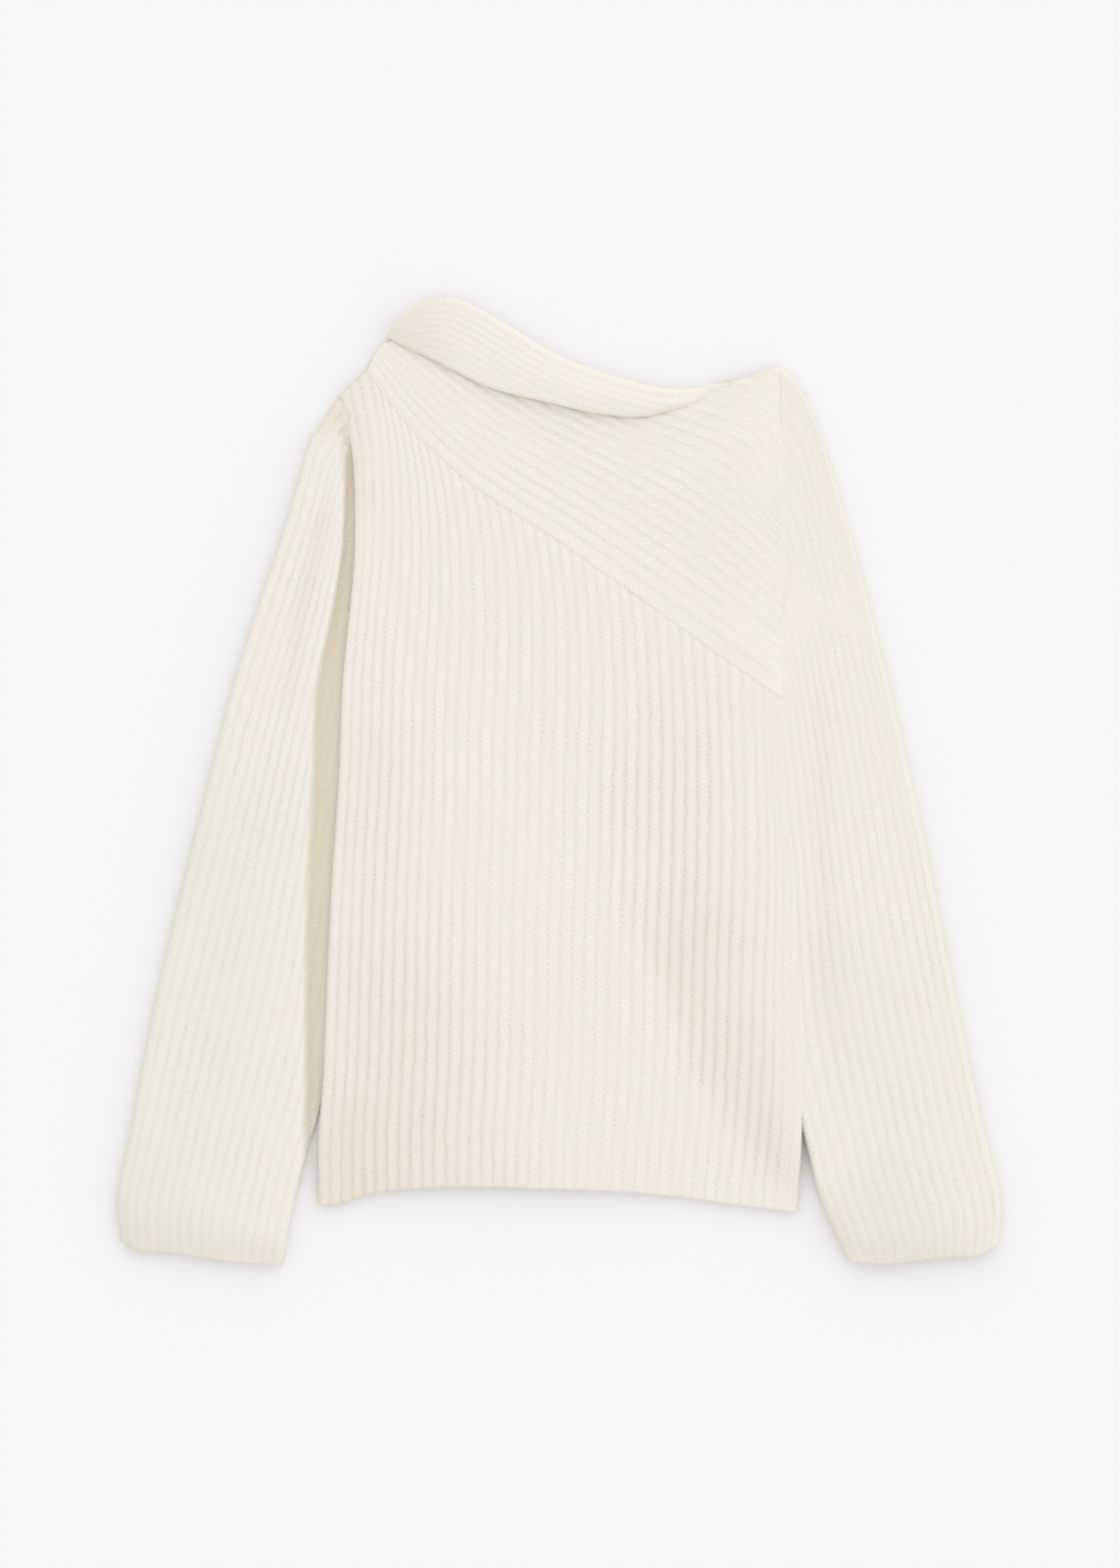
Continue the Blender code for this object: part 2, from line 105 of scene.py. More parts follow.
# Where the yoke's ribs run: rows (number of the rib, points along it), from the seam up
YOKE_RIB_PATHS = (
    (0, tuple(row[1:] for row in SEAM)),
    (5, ((-130.3, 329.1), (-109.9, 310.1), (-88.8, 290.5), (-63.3, 268.6), (-29.1, 248.2),
         (21.1, 219.9), (76.4, 186.4), (126.7, 151.4), (166.7, 120.8))),
    (10, ((-102.6, 340.7), (-66.2, 317.4), (-37.1, 298.5), (-8, 279.6), (43.7, 254.1),
          (101.9, 225), (147.8, 190.7), (174, 164.5))),
    (16, ((-8, 322.5), (21.1, 310.1), (64.8, 295.6), (93.9, 286.8), (119.4, 279.6), (141.2, 271.5),
          (155.8, 260.6), (164.5, 244.6), (168.9, 224.2), (171, 202.4))),
)

# The folded band: its fold, then its lower edge, from the left shoulder to its right tip
COLLAR = ((-113, 348.5, -129, 330.5), (-96, 358, -111.5, 321), (-78, 359, -95.5, 314),
          (-59, 351, -78.5, 305), (-40, 340, -59, 295.5), (-19, 327, -37, 288),
          (3, 315, -13, 282.5), (25.5, 306, 11.5, 276.5), (48, 299, 37, 272),
          (69, 293.5, 62, 271), (88, 291.5, 83.5, 276), (104, 292.5, 102, 281.5),
          (116, 295.5, 115, 288.5))
COLLAR_TIP = ((127, 296, 125, 292.5),)

# Shares of the band's width, from its lower edge: where the yoke ends under each point of it, where
# the hidden leg is seamed, with its gap in millimetres, and where the back and its collar end
YOKE_NECK_SHARES = (0.3, 0.3, 0.3, 0.3, 0.3, 0.3, 0.3, 0.3, 0.3, 0.35, 0.5, 0.75, 0.9)
NECK_SEAM = 0.3
NECK_SEAM_GAP = 1.5
BACK_NECK_SEAM = 0.55
BACK_COLLAR_TOP = 0.95

# The back's top edge outside its neck, and how far its outline stays inside the front's
BACK_SHOULDER_LEFT = ((-162, 285), (-140, 305))
BACK_SHOULDER_RIGHT = ((141, 299), (155, 304.5), (164, 303))
BACK_CORNER_RIGHT = ((165, 303),)
BACK_INSET = 1.0

RIGHT_CUFF = ((-326, -340), (-318, -346), (-287.5, -350), (-248, -356), (-206, -359))
RIGHT_OUTER = ((-326, -340), (-328.5, -318), (-318, -256.5), (-296.5, -147), (-268.5, -30.5),
               (-238, 86), (-200, 202.5), (-191.5, 231.5), (-185, 253.5), (-175.5, 268),
               (-164.5, 286.5))
RIGHT_INNER = ((-206, -359), (-197.5, -314.5), (-188, -276.5), (-179.5, -249), (-170.5, -205.5),
               (-164.5, -147), (-158.5, -74.5), (-154, -1.5), (-151, 53))
RIGHT_SLEEVE_HEAD = ((0, -164.5, 286.5), (0.17, -152.5, 268), (0.29, -150, 253.5),
                     (0.38, -150, 231.5), (0.48, -149.5, 202.5), (0.69, -147, 144),
                     (0.87, -149, 86), (1, -151, 53))
LEFT_CUFF = ((326, -342), (317, -349), (287, -353), (239.5, -358), (214, -356))
LEFT_OUTER = ((326, -342), (328.5, -322), (315, -256.5), (292, -147), (268.5, -30.5),
              (241.5, 86), (211, 202.5), (193, 260.5), (184.5, 283.5), (176, 297.5),
              (170, 304.5), (163, 307.5))
LEFT_INNER = ((214, -356), (203, -332.5), (191.5, -303), (184.5, -274.5), (177.5, -249),
              (168, -205), (165, -147), (163.5, -90), (160, -38), (156, 20))
LEFT_SLEEVE_HEAD = ((0, 163, 307.5), (0.1, 164.2, 297), (0.21, 164.2, 282.5), (0.28, 164.2, 260.5),
                    (0.366, 164.2, 239), (0.464, 164.2, 202.5), (0.655, 164.2, 144),
                    (0.784, 164.2, 86), (0.856, 162, 52), (1, 156, 20))

# Where each side of the body starts to be carried by the sleeve under it, and where it is carried
# fully, from the shoulder down, then where that ends and where the hem is back on the ground
LIFT_LEFT = (266, 195, -262, -316)
LIFT_RIGHT = (170, 50, -262, -318)

# How far in from its edge the body is carried fully, and over what width that ends
LIFT_SHELF = 12.0
LIFT_RAMP = 45.0

# The front's broad form, in millimetres: rows (y, x of its swell, height of the swell, x of the dip),
# and how far in from its left and right edges it starts
FRONT_FORM = ((-319, -64, 2, 158), (-290, -64, 4, 154), (-240, -66, 7.5, 128), (-117, -76, 9, 71),
              (-5, -88, 9, 20), (40, -100, 7.5, 25), (100, -125, 4, 53), (160, -135, 1.5, 80),
              (220, -135, 0, 100), (330, -135, 0, 100))
FORM_INSETS = (4, 5)

# The valley between each sleeve and the body, in millimetres: rows (y, floor, bank)
RIGHT_VALLEY = ((-316, 3, 6), (-256, 6, 8), (-198, 9, 8), (-110, 12, 8), (-23, 14, 8), (64, 16, 6),
                (122, 10, 5), (180, 6.5, 4), (268, 3, 3))
LEFT_VALLEY = ((-316, -3, 5), (-290, -8, 6), (110, -8, 6), (150, 0, 22), (268, 0, 22))

# Where the armhole's seam ends upwards and downwards, and the sleeves' free ends, which no body
# edge presses: the y where they start, the length over which they rise, and the share of the width
RIGHT_ARMHOLE_ENDS = (276, 236)
LEFT_ARMHOLE_ENDS = (170, 50)
SLEEVE_FREE = -250.0
SLEEVE_FREE_RAMP = 40.0
FREE_WIDTH = 0.1

# Soft creases, in millimetres: (depth, half width on the left, on the right, points along it)
RIGHT_SLEEVE_CREASES = (
    (2.2, 7, 7, ((-168, 217), (-173, 209), (-185, 170), (-191.5, 141), (-199, 96), (-208, 28))),
)
LEFT_SLEEVE_CREASES = (
    (1.6, 9, 9, ((176, 250), (183, 190), (188, 120), (190, 40), (192, -60), (196, -170))),
)
YOKE_CREASES = (
    (-2.0, 24, 24, ((150, 300), (138, 240), (132, 180), (130, 120), (138, 60))),
)

# How far the ribs are pulled open everywhere, and at least, and where they are pulled further or
# pushed together: (share, half width on the left, on the right, points). Open ribs stand higher, and
# their grooves get painted shade in the wool's colour
OPEN_SHARE = 0.45
LEAST_OPEN = 0.08
FRONT_OPEN = (
    (0.3, 45, 40, ((-140, 150), (-138, 20), (-138, -100), (-140, -190))),
    (0.5, 78, 60, ((-130, -60), (-125, -200), (-118, -330), (-118, -450))),
    (0.3, 50, 36, ((95, 140), (88, 60), (86, 0), (98, -80), (120, -170))),
    (0.6, 52, 12, ((30, 90), (36, 27), (52, -85), (92, -166), (124, -238), (172, -303), (190, -330))),
    (-0.25, 42, 42, ((-25, 40), (-10, -100), (15, -200), (35, -420))),
)
YOKE_OPEN = ((-0.3, 50, 50, ((120, 330), (128, 240), (140, 160), (150, 60))),)
RIGHT_SLEEVE_OPEN = ((0.3, 25, 25, ((-160, 260), (-190, 150), (-205, 40), (-215, -80))),)
LEFT_SLEEVE_OPEN = ((-0.25, 40, 40, ((170, 330), (190, 240), (225, 100), (250, -60))),)

# Painted shade, where the wool lies in a hollow away from the light: rows as above
FRONT_PAINTED_SHADE = (
    (0.07, 50, 40, ((-140, 80), (-140, -40), (-142, -120), (-145, -180))),
    (0.17, 88, 60, ((-130, -100), (-126, -220), (-118, -330), (-118, -450))),
    (0.06, 50, 36, ((95, 140), (88, 60), (86, 0), (98, -80), (120, -170))),
    (0.16, 60, 12, ((62, -60), (92, -166), (124, -238), (172, -303), (190, -330))),
    (0.2, 34, 26, ((-150, -215), (-160, -270), (-165, -320), (-165, -400))),
    (0.2, 14, 12, ((-128, 338), (-156, 288), (-153, 250), (-148, 170))),
)
# Painted light on the yoke under the collar, lightening the shade that falls there
YOKE_PAINTED_LIGHT = ((-0.08, 26, 26, ((-90, 310), (-40, 275), (20, 250), (80, 250), (135, 280))),)
COLLAR_PAINTED_SHADE = ((0.27, 34, 34, ((-112, 260), (-112, 420))),)
RIGHT_SLEEVE_PAINTED_SHADE = (
    (0.14, 9, 9, ((-166, 240), (-178, 190), (-190, 140), (-200, 90), (-210, 20))),
    (0.3, 12, 9, ((-150, 330), (-158, 285), (-154, 262), (-150, 200))),
    (0.26, 13, 13, ((-400, -320), (-326, -340), (-300, -347), (-250, -356), (-206, -360), (-140, -366))),
)
LEFT_SLEEVE_PAINTED_SHADE = (
    (0.13, 18, 16, ((184, 130), (190, 20), (196, -100), (206, -240))),
    (0.24, 13, 13, ((330, -345), (290, -353), (250, -358), (214, -357), (205, -330), (195, -290))),
)

# Painted shade, greyer and darker, down the sleeves: rows as above
RIGHT_SLEEVE_GREY_SHADE = (
    (0.4, 70, 70, ((-230, 90), (-255, -140), (-275, -300), (-285, -460))),
    (0.2, 30, 30, ((-310, -240), (-322, -310), (-330, -350), (-332, -430))),
)
LEFT_SLEEVE_GREY_SHADE = (
    (0.32, 60, 60, ((220, -60), (240, -200), (255, -320), (275, -460))),
    (0.25, 40, 30, ((214, -270), (232, -320), (245, -360), (250, -430))),
)

# How the wool lies where no table says it: how far its ribs are open, which also paints shade in their
# grooves, then painted hollow shade and painted grey shade
PLAIN_SHADE_PAINT = (0.4, 0.0, 0.0)

# Broad shallow waves: rows (share, turns across and along in radians per metre, share of the phase)
WAVES = ((1.0, 31, 17, 1.0), (0.7, -23, 41, 2.1), (0.5, 67, 9, 0.7), (0.4, 12, -73, 1.3))

# The frame in pixels, and the pixel in which the origin lies
FRAME = (1143, 1600)
ORIGIN_PIXEL = (571, 798)


class SweaterKnit(PropertyGroup):
    """Sizes and colours of the knit, in metres and sRGB hex."""

    wall: FloatProperty(name="Wall", description="Thickness of the knit between its ribs",
                        default=0.003, unit="LENGTH")
    rib_height: FloatProperty(name="Rib height", description="How far a rib's crest stands up from the wall",
                              default=0.00055, unit="LENGTH")
    rib_groove: FloatProperty(name="Rib groove", description="How far the groove between two ribs sinks in",
                              default=0.00015, unit="LENGTH")
    rib_samples: IntProperty(name="Samples", description="Points across one rib", default=8, min=4)
    course: FloatProperty(name="Course", description="Height of one row of stitches",
                          default=0.0042, unit="LENGTH")
    stitch_relief: FloatProperty(name="Stitch relief", description="How deep the loops are cut into the ribs",
                                 default=0.0002, unit="LENGTH")
    body_wool: StringProperty(name="Body wool", description="Colour of the front and the back",
                              default="#F3EDE3")
    yoke_wool: StringProperty(name="Yoke wool", description="Colour of the yoke", default="#F4EFE4")
    sleeve_wool: StringProperty(name="Sleeve wool", description="Colour of the sleeves", default="#F3EEE4")
    collar_wool: StringProperty(name="Collar wool", description="Colour of the collar", default="#F3EEE4")


class SweaterLayers(PropertyGroup):
    """How the pieces lie over each other, in metres above the ground."""

    pressed_gap: FloatProperty(name="Pressed gap", description="Between two layers pressed together",
                               default=0.0006, unit="LENGTH")
    front_loft: FloatProperty(name="Front loft", description="What the front gains away from its edges",
                              default=0.0006, unit="LENGTH")
    seam_lap: FloatProperty(name="Seam lap", description="How far a sewn edge laps over its neighbour",
                            default=0.002, unit="LENGTH")
    right_pressed: FloatProperty(name="Right valley", description="The right sleeve's height beside the body",
                                 default=0.0034, unit="LENGTH")
    left_pressed: FloatProperty(name="Left valley", description="The left sleeve's height beside the body",
                                default=0.0064, unit="LENGTH")
    sleeve_beside: FloatProperty(name="Sleeve head", default=0.0070, unit="LENGTH",
                                 description="A sleeve's height where it is sewn to the body")
    sleeve_crown: FloatProperty(name="Sleeve crown", description="A sleeve's height along its middle",
                                default=0.0125, unit="LENGTH")
    sleeve_wall: FloatProperty(name="Sleeve wall", description="Thickness of each half of a sleeve",
                               default=0.0028, unit="LENGTH")
    right_lift: FloatProperty(name="Right lift", default=0.0036, unit="LENGTH",
                              description="How far the right sleeve carries the body's edge")
    left_lift: FloatProperty(name="Left lift", default=0.0069, unit="LENGTH",
                             description="How far the left sleeve carries the body's edge")
    collar_under: FloatProperty(name="Collar leg", description="Underside of the collar's hidden leg",
                                default=0.0042, unit="LENGTH")
    collar_over: FloatProperty(name="Collar band", description="Underside of the folded band",
                               default=0.009, unit="LENGTH")
    collar_wall: FloatProperty(name="Collar wall", description="Thickness of the collar's finer rib",
                               default=0.0026, unit="LENGTH")


class SweaterStudio(PropertyGroup):
    """The ground, the light and the camera."""

    ground: StringProperty(name="Ground", description="Colour of the paper under the sweater",
                           default="#F5F5F5")
    sky: FloatProperty(name="Tent", description="Strength of the light from all round", default=0.985)
    slope: FloatProperty(name="Tent slope", description="How much brighter the tent is beyond the neck",
                         default=0.2)
    key: FloatProperty(name="Key", description="Strength of the weak soft light from beyond the neck",
                       default=0.12)
    pixel: FloatProperty(name="Pixel", description="Size of one pixel of the frame on the sweater",
                         default=0.000728, unit="LENGTH", precision=6)
    height: FloatProperty(name="Camera height", description="How far the camera hangs over the ground",
                          default=6.0, unit="LENGTH")


# Outlines and grids

def with_fractions(points):
    """Rows (fraction, x, y) in metres from points, or rows, in millimetres."""
    rows = np.array(points, dtype=float)
    if rows.shape[1] == 2:
        lengths = np.r_[0, np.cumsum(np.linalg.norm(np.diff(rows, axis=0), axis=1))]
        rows = np.column_stack((lengths / lengths[-1], rows))
    rows[:, 1:] *= MM
    return rows


def curve(rows, fractions):
    """A smooth curve through rows (fraction, values...), read at each fraction."""
    knots, values = rows[:, 0], rows[:, 1:]
    steps = np.diff(knots)[:, None]
    slopes = np.diff(values, axis=0) / steps
    inner = (slopes[:-1] * steps[1:] + slopes[1:] * steps[:-1]) / (steps[1:] + steps[:-1])
    tangents = np.vstack((slopes[:1], inner, slopes[-1:]))
    fractions = np.asarray(fractions, dtype=float)
    first = np.clip(np.searchsorted(knots, fractions, side="right") - 1, 0, len(knots) - 2)
    step = steps[first]
    t = ((fractions - knots[first]) / step[:, 0])[:, None]
    return ((2 * t**3 - 3 * t**2 + 1) * values[first] + (t**3 - 2 * t**2 + t) * step * tangents[first]
            + (3 * t**2 - 2 * t**3) * values[first + 1] + (t**3 - t**2) * step * tangents[first + 1])


def line(points, shift=(0, 0)):
    """A smooth outline through points, or rows, as a function of the fraction along it."""
    rows = with_fractions(points)
    return lambda fractions: curve(rows, fractions) + np.array(shift)


def cornered(first, second, corner):
    """Two outlines that meet in a corner at one fraction."""
    def read(fractions):
        at = np.asarray(fractions, dtype=float)
        before = first(np.clip(at / corner, 0, 1))
        after = second(np.clip((at - corner) / (1 - corner), 0, 1))
        return np.where(at[:, None] < corner, before, after)
    return read


def patch(bottom, top, left, right, across, along):
    """A grid [along][across] of points (x, y) that fills the four outlines around it."""
    u, v = np.asarray(across), np.asarray(along)
    low, high, start, end = bottom(u)[None], top(u)[None], left(v)[:, None], right(v)[:, None]
    (low_start, low_end), (high_start, high_end) = bottom([0, 1]), top([0, 1])
    u, v = u[None, :, None], v[:, None, None]
    corners = (1 - v) * ((1 - u) * low_start + u * low_end) + v * ((1 - u) * high_start + u * high_end)
    return (1 - v) * low + v * high + (1 - u) * start + u * end - corners


def smooth(value):
    """An S-shaped step from 0 to 1 as the value goes from 0 to 1."""
    t = np.clip(value, 0, 1)
    return t * t * (3 - 2 * t)


def roll(distance, radius):
    """Height of a quarter round at each distance in from its rim, from 0 to 1."""
    reach = np.clip(distance / radius, 0, 1)
    return np.sqrt(1 - (1 - reach) ** 2)


def side_edge(points, y):
    """Where a side edge of the body lies across, at each y."""
    rows = np.array(points, dtype=float)[:, ::-1] * MM
    return curve(rows, np.clip(np.ravel(y), rows[0, 0], rows[-1, 0])).reshape(np.shape(y))


def lift_share(y, marks):
    """How much of its lift an edge has at each y, from 0 to 1."""
    start, full, last, end = (mark * MM for mark in marks)
    return smooth((start - y) / (start - full)) * smooth((y - end) / (last - end))


def lift(grid, layers):
    """How far the body is carried by the sleeves that lie under its two side edges."""
    x, y = grid[..., 0], grid[..., 1]
    share = np.zeros_like(x)
    for side, edge, marks, height in ((-1, BODY_LEFT, LIFT_LEFT, layers.right_lift),
                                      (1, BODY_RIGHT, LIFT_RIGHT, layers.left_lift)):
        inward = (side_edge(edge, y) - x) * side / MM
        share += lift_share(y, marks) * height * (1 - smooth((inward - LIFT_SHELF) / LIFT_RAMP))
    return share


def front_form(grid, layers):
    """Broad form of the front: from the left edge over a swell into a dip, and up to the right edge."""
    x, y = grid[..., 0] / MM, grid[..., 1]
    at, swell, height, dip = zip(*FRONT_FORM)
    swell, height, dip = (np.interp(y / MM, at, values) for values in (swell, height, dip))
    left = side_edge(BODY_LEFT, y) / MM + FORM_INSETS[0]
    right = side_edge(BODY_RIGHT, y) / MM - FORM_INSETS[1]
    first, last = (carried * lift_share(y, marks) for carried, marks in
                   ((layers.right_lift, LIFT_LEFT), (layers.left_lift, LIFT_RIGHT)))
    height = height * MM
    form = first + (height - first) * smooth((x - left) / (swell - left))
    return form - height * smooth((x - swell) / (dip - swell)) + last * smooth((x - dip) / (right - dip))


def beside(grid, points, stops=60):
    """Distance from a path, positive on its left, and the fraction of the path that is nearest."""
    path = line(points)(np.linspace(0, 1, stops))
    step = np.diff(path, axis=0)
    step /= np.linalg.norm(step, axis=1)[:, None]
    nearest = np.full(grid.shape[:2], np.inf)
    side, at = np.zeros(grid.shape[:2]), np.zeros(grid.shape[:2])
    for number, (start, end, way) in enumerate(zip(path, path[1:], step)):
        to = grid - start
        ahead = np.clip(to @ way, 0, np.linalg.norm(end - start))
        distance = np.linalg.norm(to - ahead[..., None] * way, axis=2)
        turn = way[0] * to[..., 1] - way[1] * to[..., 0]
        side = np.where(distance < nearest, np.sign(turn) * distance, side)
        at = np.where(distance < nearest, number / len(step), at)
        nearest = np.minimum(nearest, distance)
    return side, at


def soft(grid, rows, fade=0.25):
    """Sum of soft strips: rows (amount, half width on the left, on the right, points)."""
    total = np.zeros(grid.shape[:2])
    for amount, left, right, points in rows:
        side, at = beside(grid, points)
        ends = smooth(at / fade) * smooth((1 - at) / fade)
        total += amount * ends * np.exp(-(side / (np.where(side > 0, left, right) * MM)) ** 2)
    return total


def slack(grid, height, phase):
    """Broad shallow waves of a hand-smoothed cloth."""
    x, y = grid[..., 0], grid[..., 1]
    wave = sum(share * np.sin(a * x + b * y + turn * phase) for share, a, b, turn in WAVES)
    return height * wave / sum(share for share, *_ in WAVES)


def opened(grid, rows):
    """How far the ribs are pulled open at each point, from nearly closed to 1."""
    return np.clip(OPEN_SHARE + soft(grid, rows), LEAST_OPEN, 1)


def rib(turns, knit):
    """Height of the ribs over the plain wall: round crests and narrow grooves."""
    crest = np.abs(np.sin(np.pi * turns)) ** 0.75
    return crest * (knit.rib_height + knit.rib_groove) - knit.rib_groove


def pulled_flat(open_share):
    """How much of their height the ribs have: more where they are open, less where they are closed."""
    return 0.3 + 0.7 * open_share


def steps_along(length, step, rim=(0.0003, 0.0009, 0.0018, 0.003), clear=0.3):
    """Fractions of a length in equal steps, and closer together at its two rims."""
    near = np.array(rim) / length
    inner = np.linspace(0, 1, max(3, round(length / step)))
    margin = near[-1] + clear * step / length
    inner = inner[(inner > margin) & (inner < 1 - margin)]
    return np.r_[0, near, inner, 1 - near[::-1], 1]


def rib_number(grid, paths, pitch):
    """The number of ribs passed at each point, between paths of known numbers."""
    sides = [beside(grid, points)[0] for _, points in paths]
    number = paths[-1][0] + sides[-1] / pitch
    for (low, _), (high, _), below, above in reversed(list(zip(paths, paths[1:], sides, sides[1:]))):
        between = low + (high - low) * below / np.maximum(below - above, 1e-6)
        number = np.where(above < 0, between, number)
    return number


def raised(grid, height):
    """The grid of (x, y) with a height for each point."""
    return np.dstack((grid, np.broadcast_to(height, grid.shape[:2])))


def knit_units(points, turns, course):
    """Ribs across and courses along, which the stitches are drawn by."""
    steps = np.linalg.norm(np.diff(points, axis=0), axis=2)
    courses = np.vstack((np.zeros(points.shape[1]), np.cumsum(steps, axis=0))) / course
    return np.dstack((np.broadcast_to(turns, courses.shape), courses))


# Meshes

class Knitting:
    """Points, faces and stitch coordinates of one piece while it is put together."""

    def __init__(self):
        self.points, self.faces, self.stitches, self.lies, self.count = [], [], [], [], 0

    def grid(self, points, units, lie):
        """Add a grid of quads; a grid of units one wider than the points closes in a ring."""
        rows, columns = points.shape[:2]
        numbers = np.arange(rows * columns).reshape(rows, columns) + self.count
        if units.shape[1] > columns:
            numbers = np.hstack((numbers, numbers[:, :1]))
        corners = ((slice(None, -1), slice(None, -1)), (slice(None, -1), slice(1, None)),
                   (slice(1, None), slice(1, None)), (slice(1, None), slice(None, -1)))
        self.points.append(points.reshape(-1, 3))
        self.lies.append(np.broadcast_to(lie, (rows, columns, 3)).reshape(-1, 3))
        self.faces += np.stack([numbers[corner] for corner in corners], axis=-1).reshape(-1, 4).tolist()
        self.stitches.append(np.stack([units[corner] for corner in corners], axis=2).reshape(-1, 2))
        self.count += rows * columns
        return numbers

    def close(self, first, second, first_at, second_at, units):
        """Join two rows of points by triangles, wherever their fractions meet."""
        other = np.column_stack([np.interp(second_at, first_at, units[:, k]) for k in (0, 1)])
        i = j = 0
        made = []
        while i < len(first) - 1 or j < len(second) - 1:
            if j == len(second) - 1 or (i < len(first) - 1 and first_at[i + 1] <= second_at[j + 1]):
                self.faces.append([first[i], first[i + 1], second[j]])
                made += [units[i], units[i + 1], other[j]]
                i += 1
            else:
                self.faces.append([first[i], second[j + 1], second[j]])
                made += [units[i], other[j + 1], other[j]]
                j += 1
        self.stitches.append(np.array(made))

    def build(self, name, material):
        """Make the object, with its faces out and its stitch coordinates."""
        mesh = bpy.data.meshes.new(name)
        mesh.from_pydata(np.vstack(self.points).tolist(), [], self.faces)
        layer = mesh.uv_layers.new(name="Stitches")
        layer.data.foreach_set("uv", np.vstack(self.stitches).ravel())
        # Painted shade for the wool: how open its grooves are, painted hollow shade and painted grey shade
        lie = mesh.attributes.new("PaintedShade", "FLOAT_VECTOR", "POINT")
        lie.data.foreach_set("vector", np.vstack(self.lies).ravel())
        work = bmesh.new()
        work.from_mesh(mesh)
        bmesh.ops.recalc_face_normals(work, faces=work.faces)
        work.to_mesh(mesh)
        work.free()
        mesh.shade_smooth()
        mesh.materials.append(material)
        piece = bpy.data.objects.new(name, mesh)
        bpy.context.scene.collection.objects.link(piece)
        return piece


def slab(name, material, upper, lower, upper_at, lower_at, units, lie=PLAIN_SHADE_PAINT):
    """One sheet of cloth: an outer grid over an inner one, closed all round."""
    cloth = Knitting()
    outer = cloth.grid(upper, units, lie)
    inner = cloth.grid(lower, np.zeros(lower.shape[:2] + (2,)), PLAIN_SHADE_PAINT)
    for row in (0, -1):
        cloth.close(outer[row], inner[row], upper_at[1], lower_at[1], units[row])
    for column in (0, -1):
        cloth.close(outer[:, column], inner[:, column], upper_at[0], lower_at[0], units[:, column])
    return cloth.build(name, material)


def plan_area(grid):
    """Flat area of a grid of (x, y)."""
    a, b, c, d = grid[:-1, :-1], grid[:-1, 1:], grid[1:, 1:], grid[1:, :-1]
    one, other = c - a, d - b
    return float(np.abs(one[..., 0] * other[..., 1] - one[..., 1] * other[..., 0]).sum() / 2)


def declare(piece, node):
    """Hang a piece on the root body and hide the CAD node that it stands for."""
    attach(piece, "root")
    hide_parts(node)


# Material

def linear(hex_colour):
    """Linear red, green, blue and alpha of an sRGB hex colour."""
    parts = [int(hex_colour.lstrip("#")[i:i + 2], 16) / 255 for i in (0, 2, 4)]
    return (*(c / 12.92 if c <= 0.04045 else ((c + 0.055) / 1.055) ** 2.4 for c in parts), 1.0)


def add(tree, kind, inputs, **settings):
    """Add a node with its settings; an input is a value or another node's output."""
    node = tree.nodes.new(kind)
    for name, value in settings.items():
        setattr(node, name, value)
    for name, value in inputs.items():
        if isinstance(value, bpy.types.NodeSocket):
            tree.links.new(value, node.inputs[name])
        else:
            node.inputs[name].default_value = value
    return node


def apart(size):
    """Scale of a noise whose lumps lie this many millimetres apart."""
    return 1 / (size * MM)


def tinted(colour, red, green, blue):
    """A linear colour with its red, green and blue changed by a share each."""
    return colour[0] * red, colour[1] * green, colour[2] * blue, 1.0


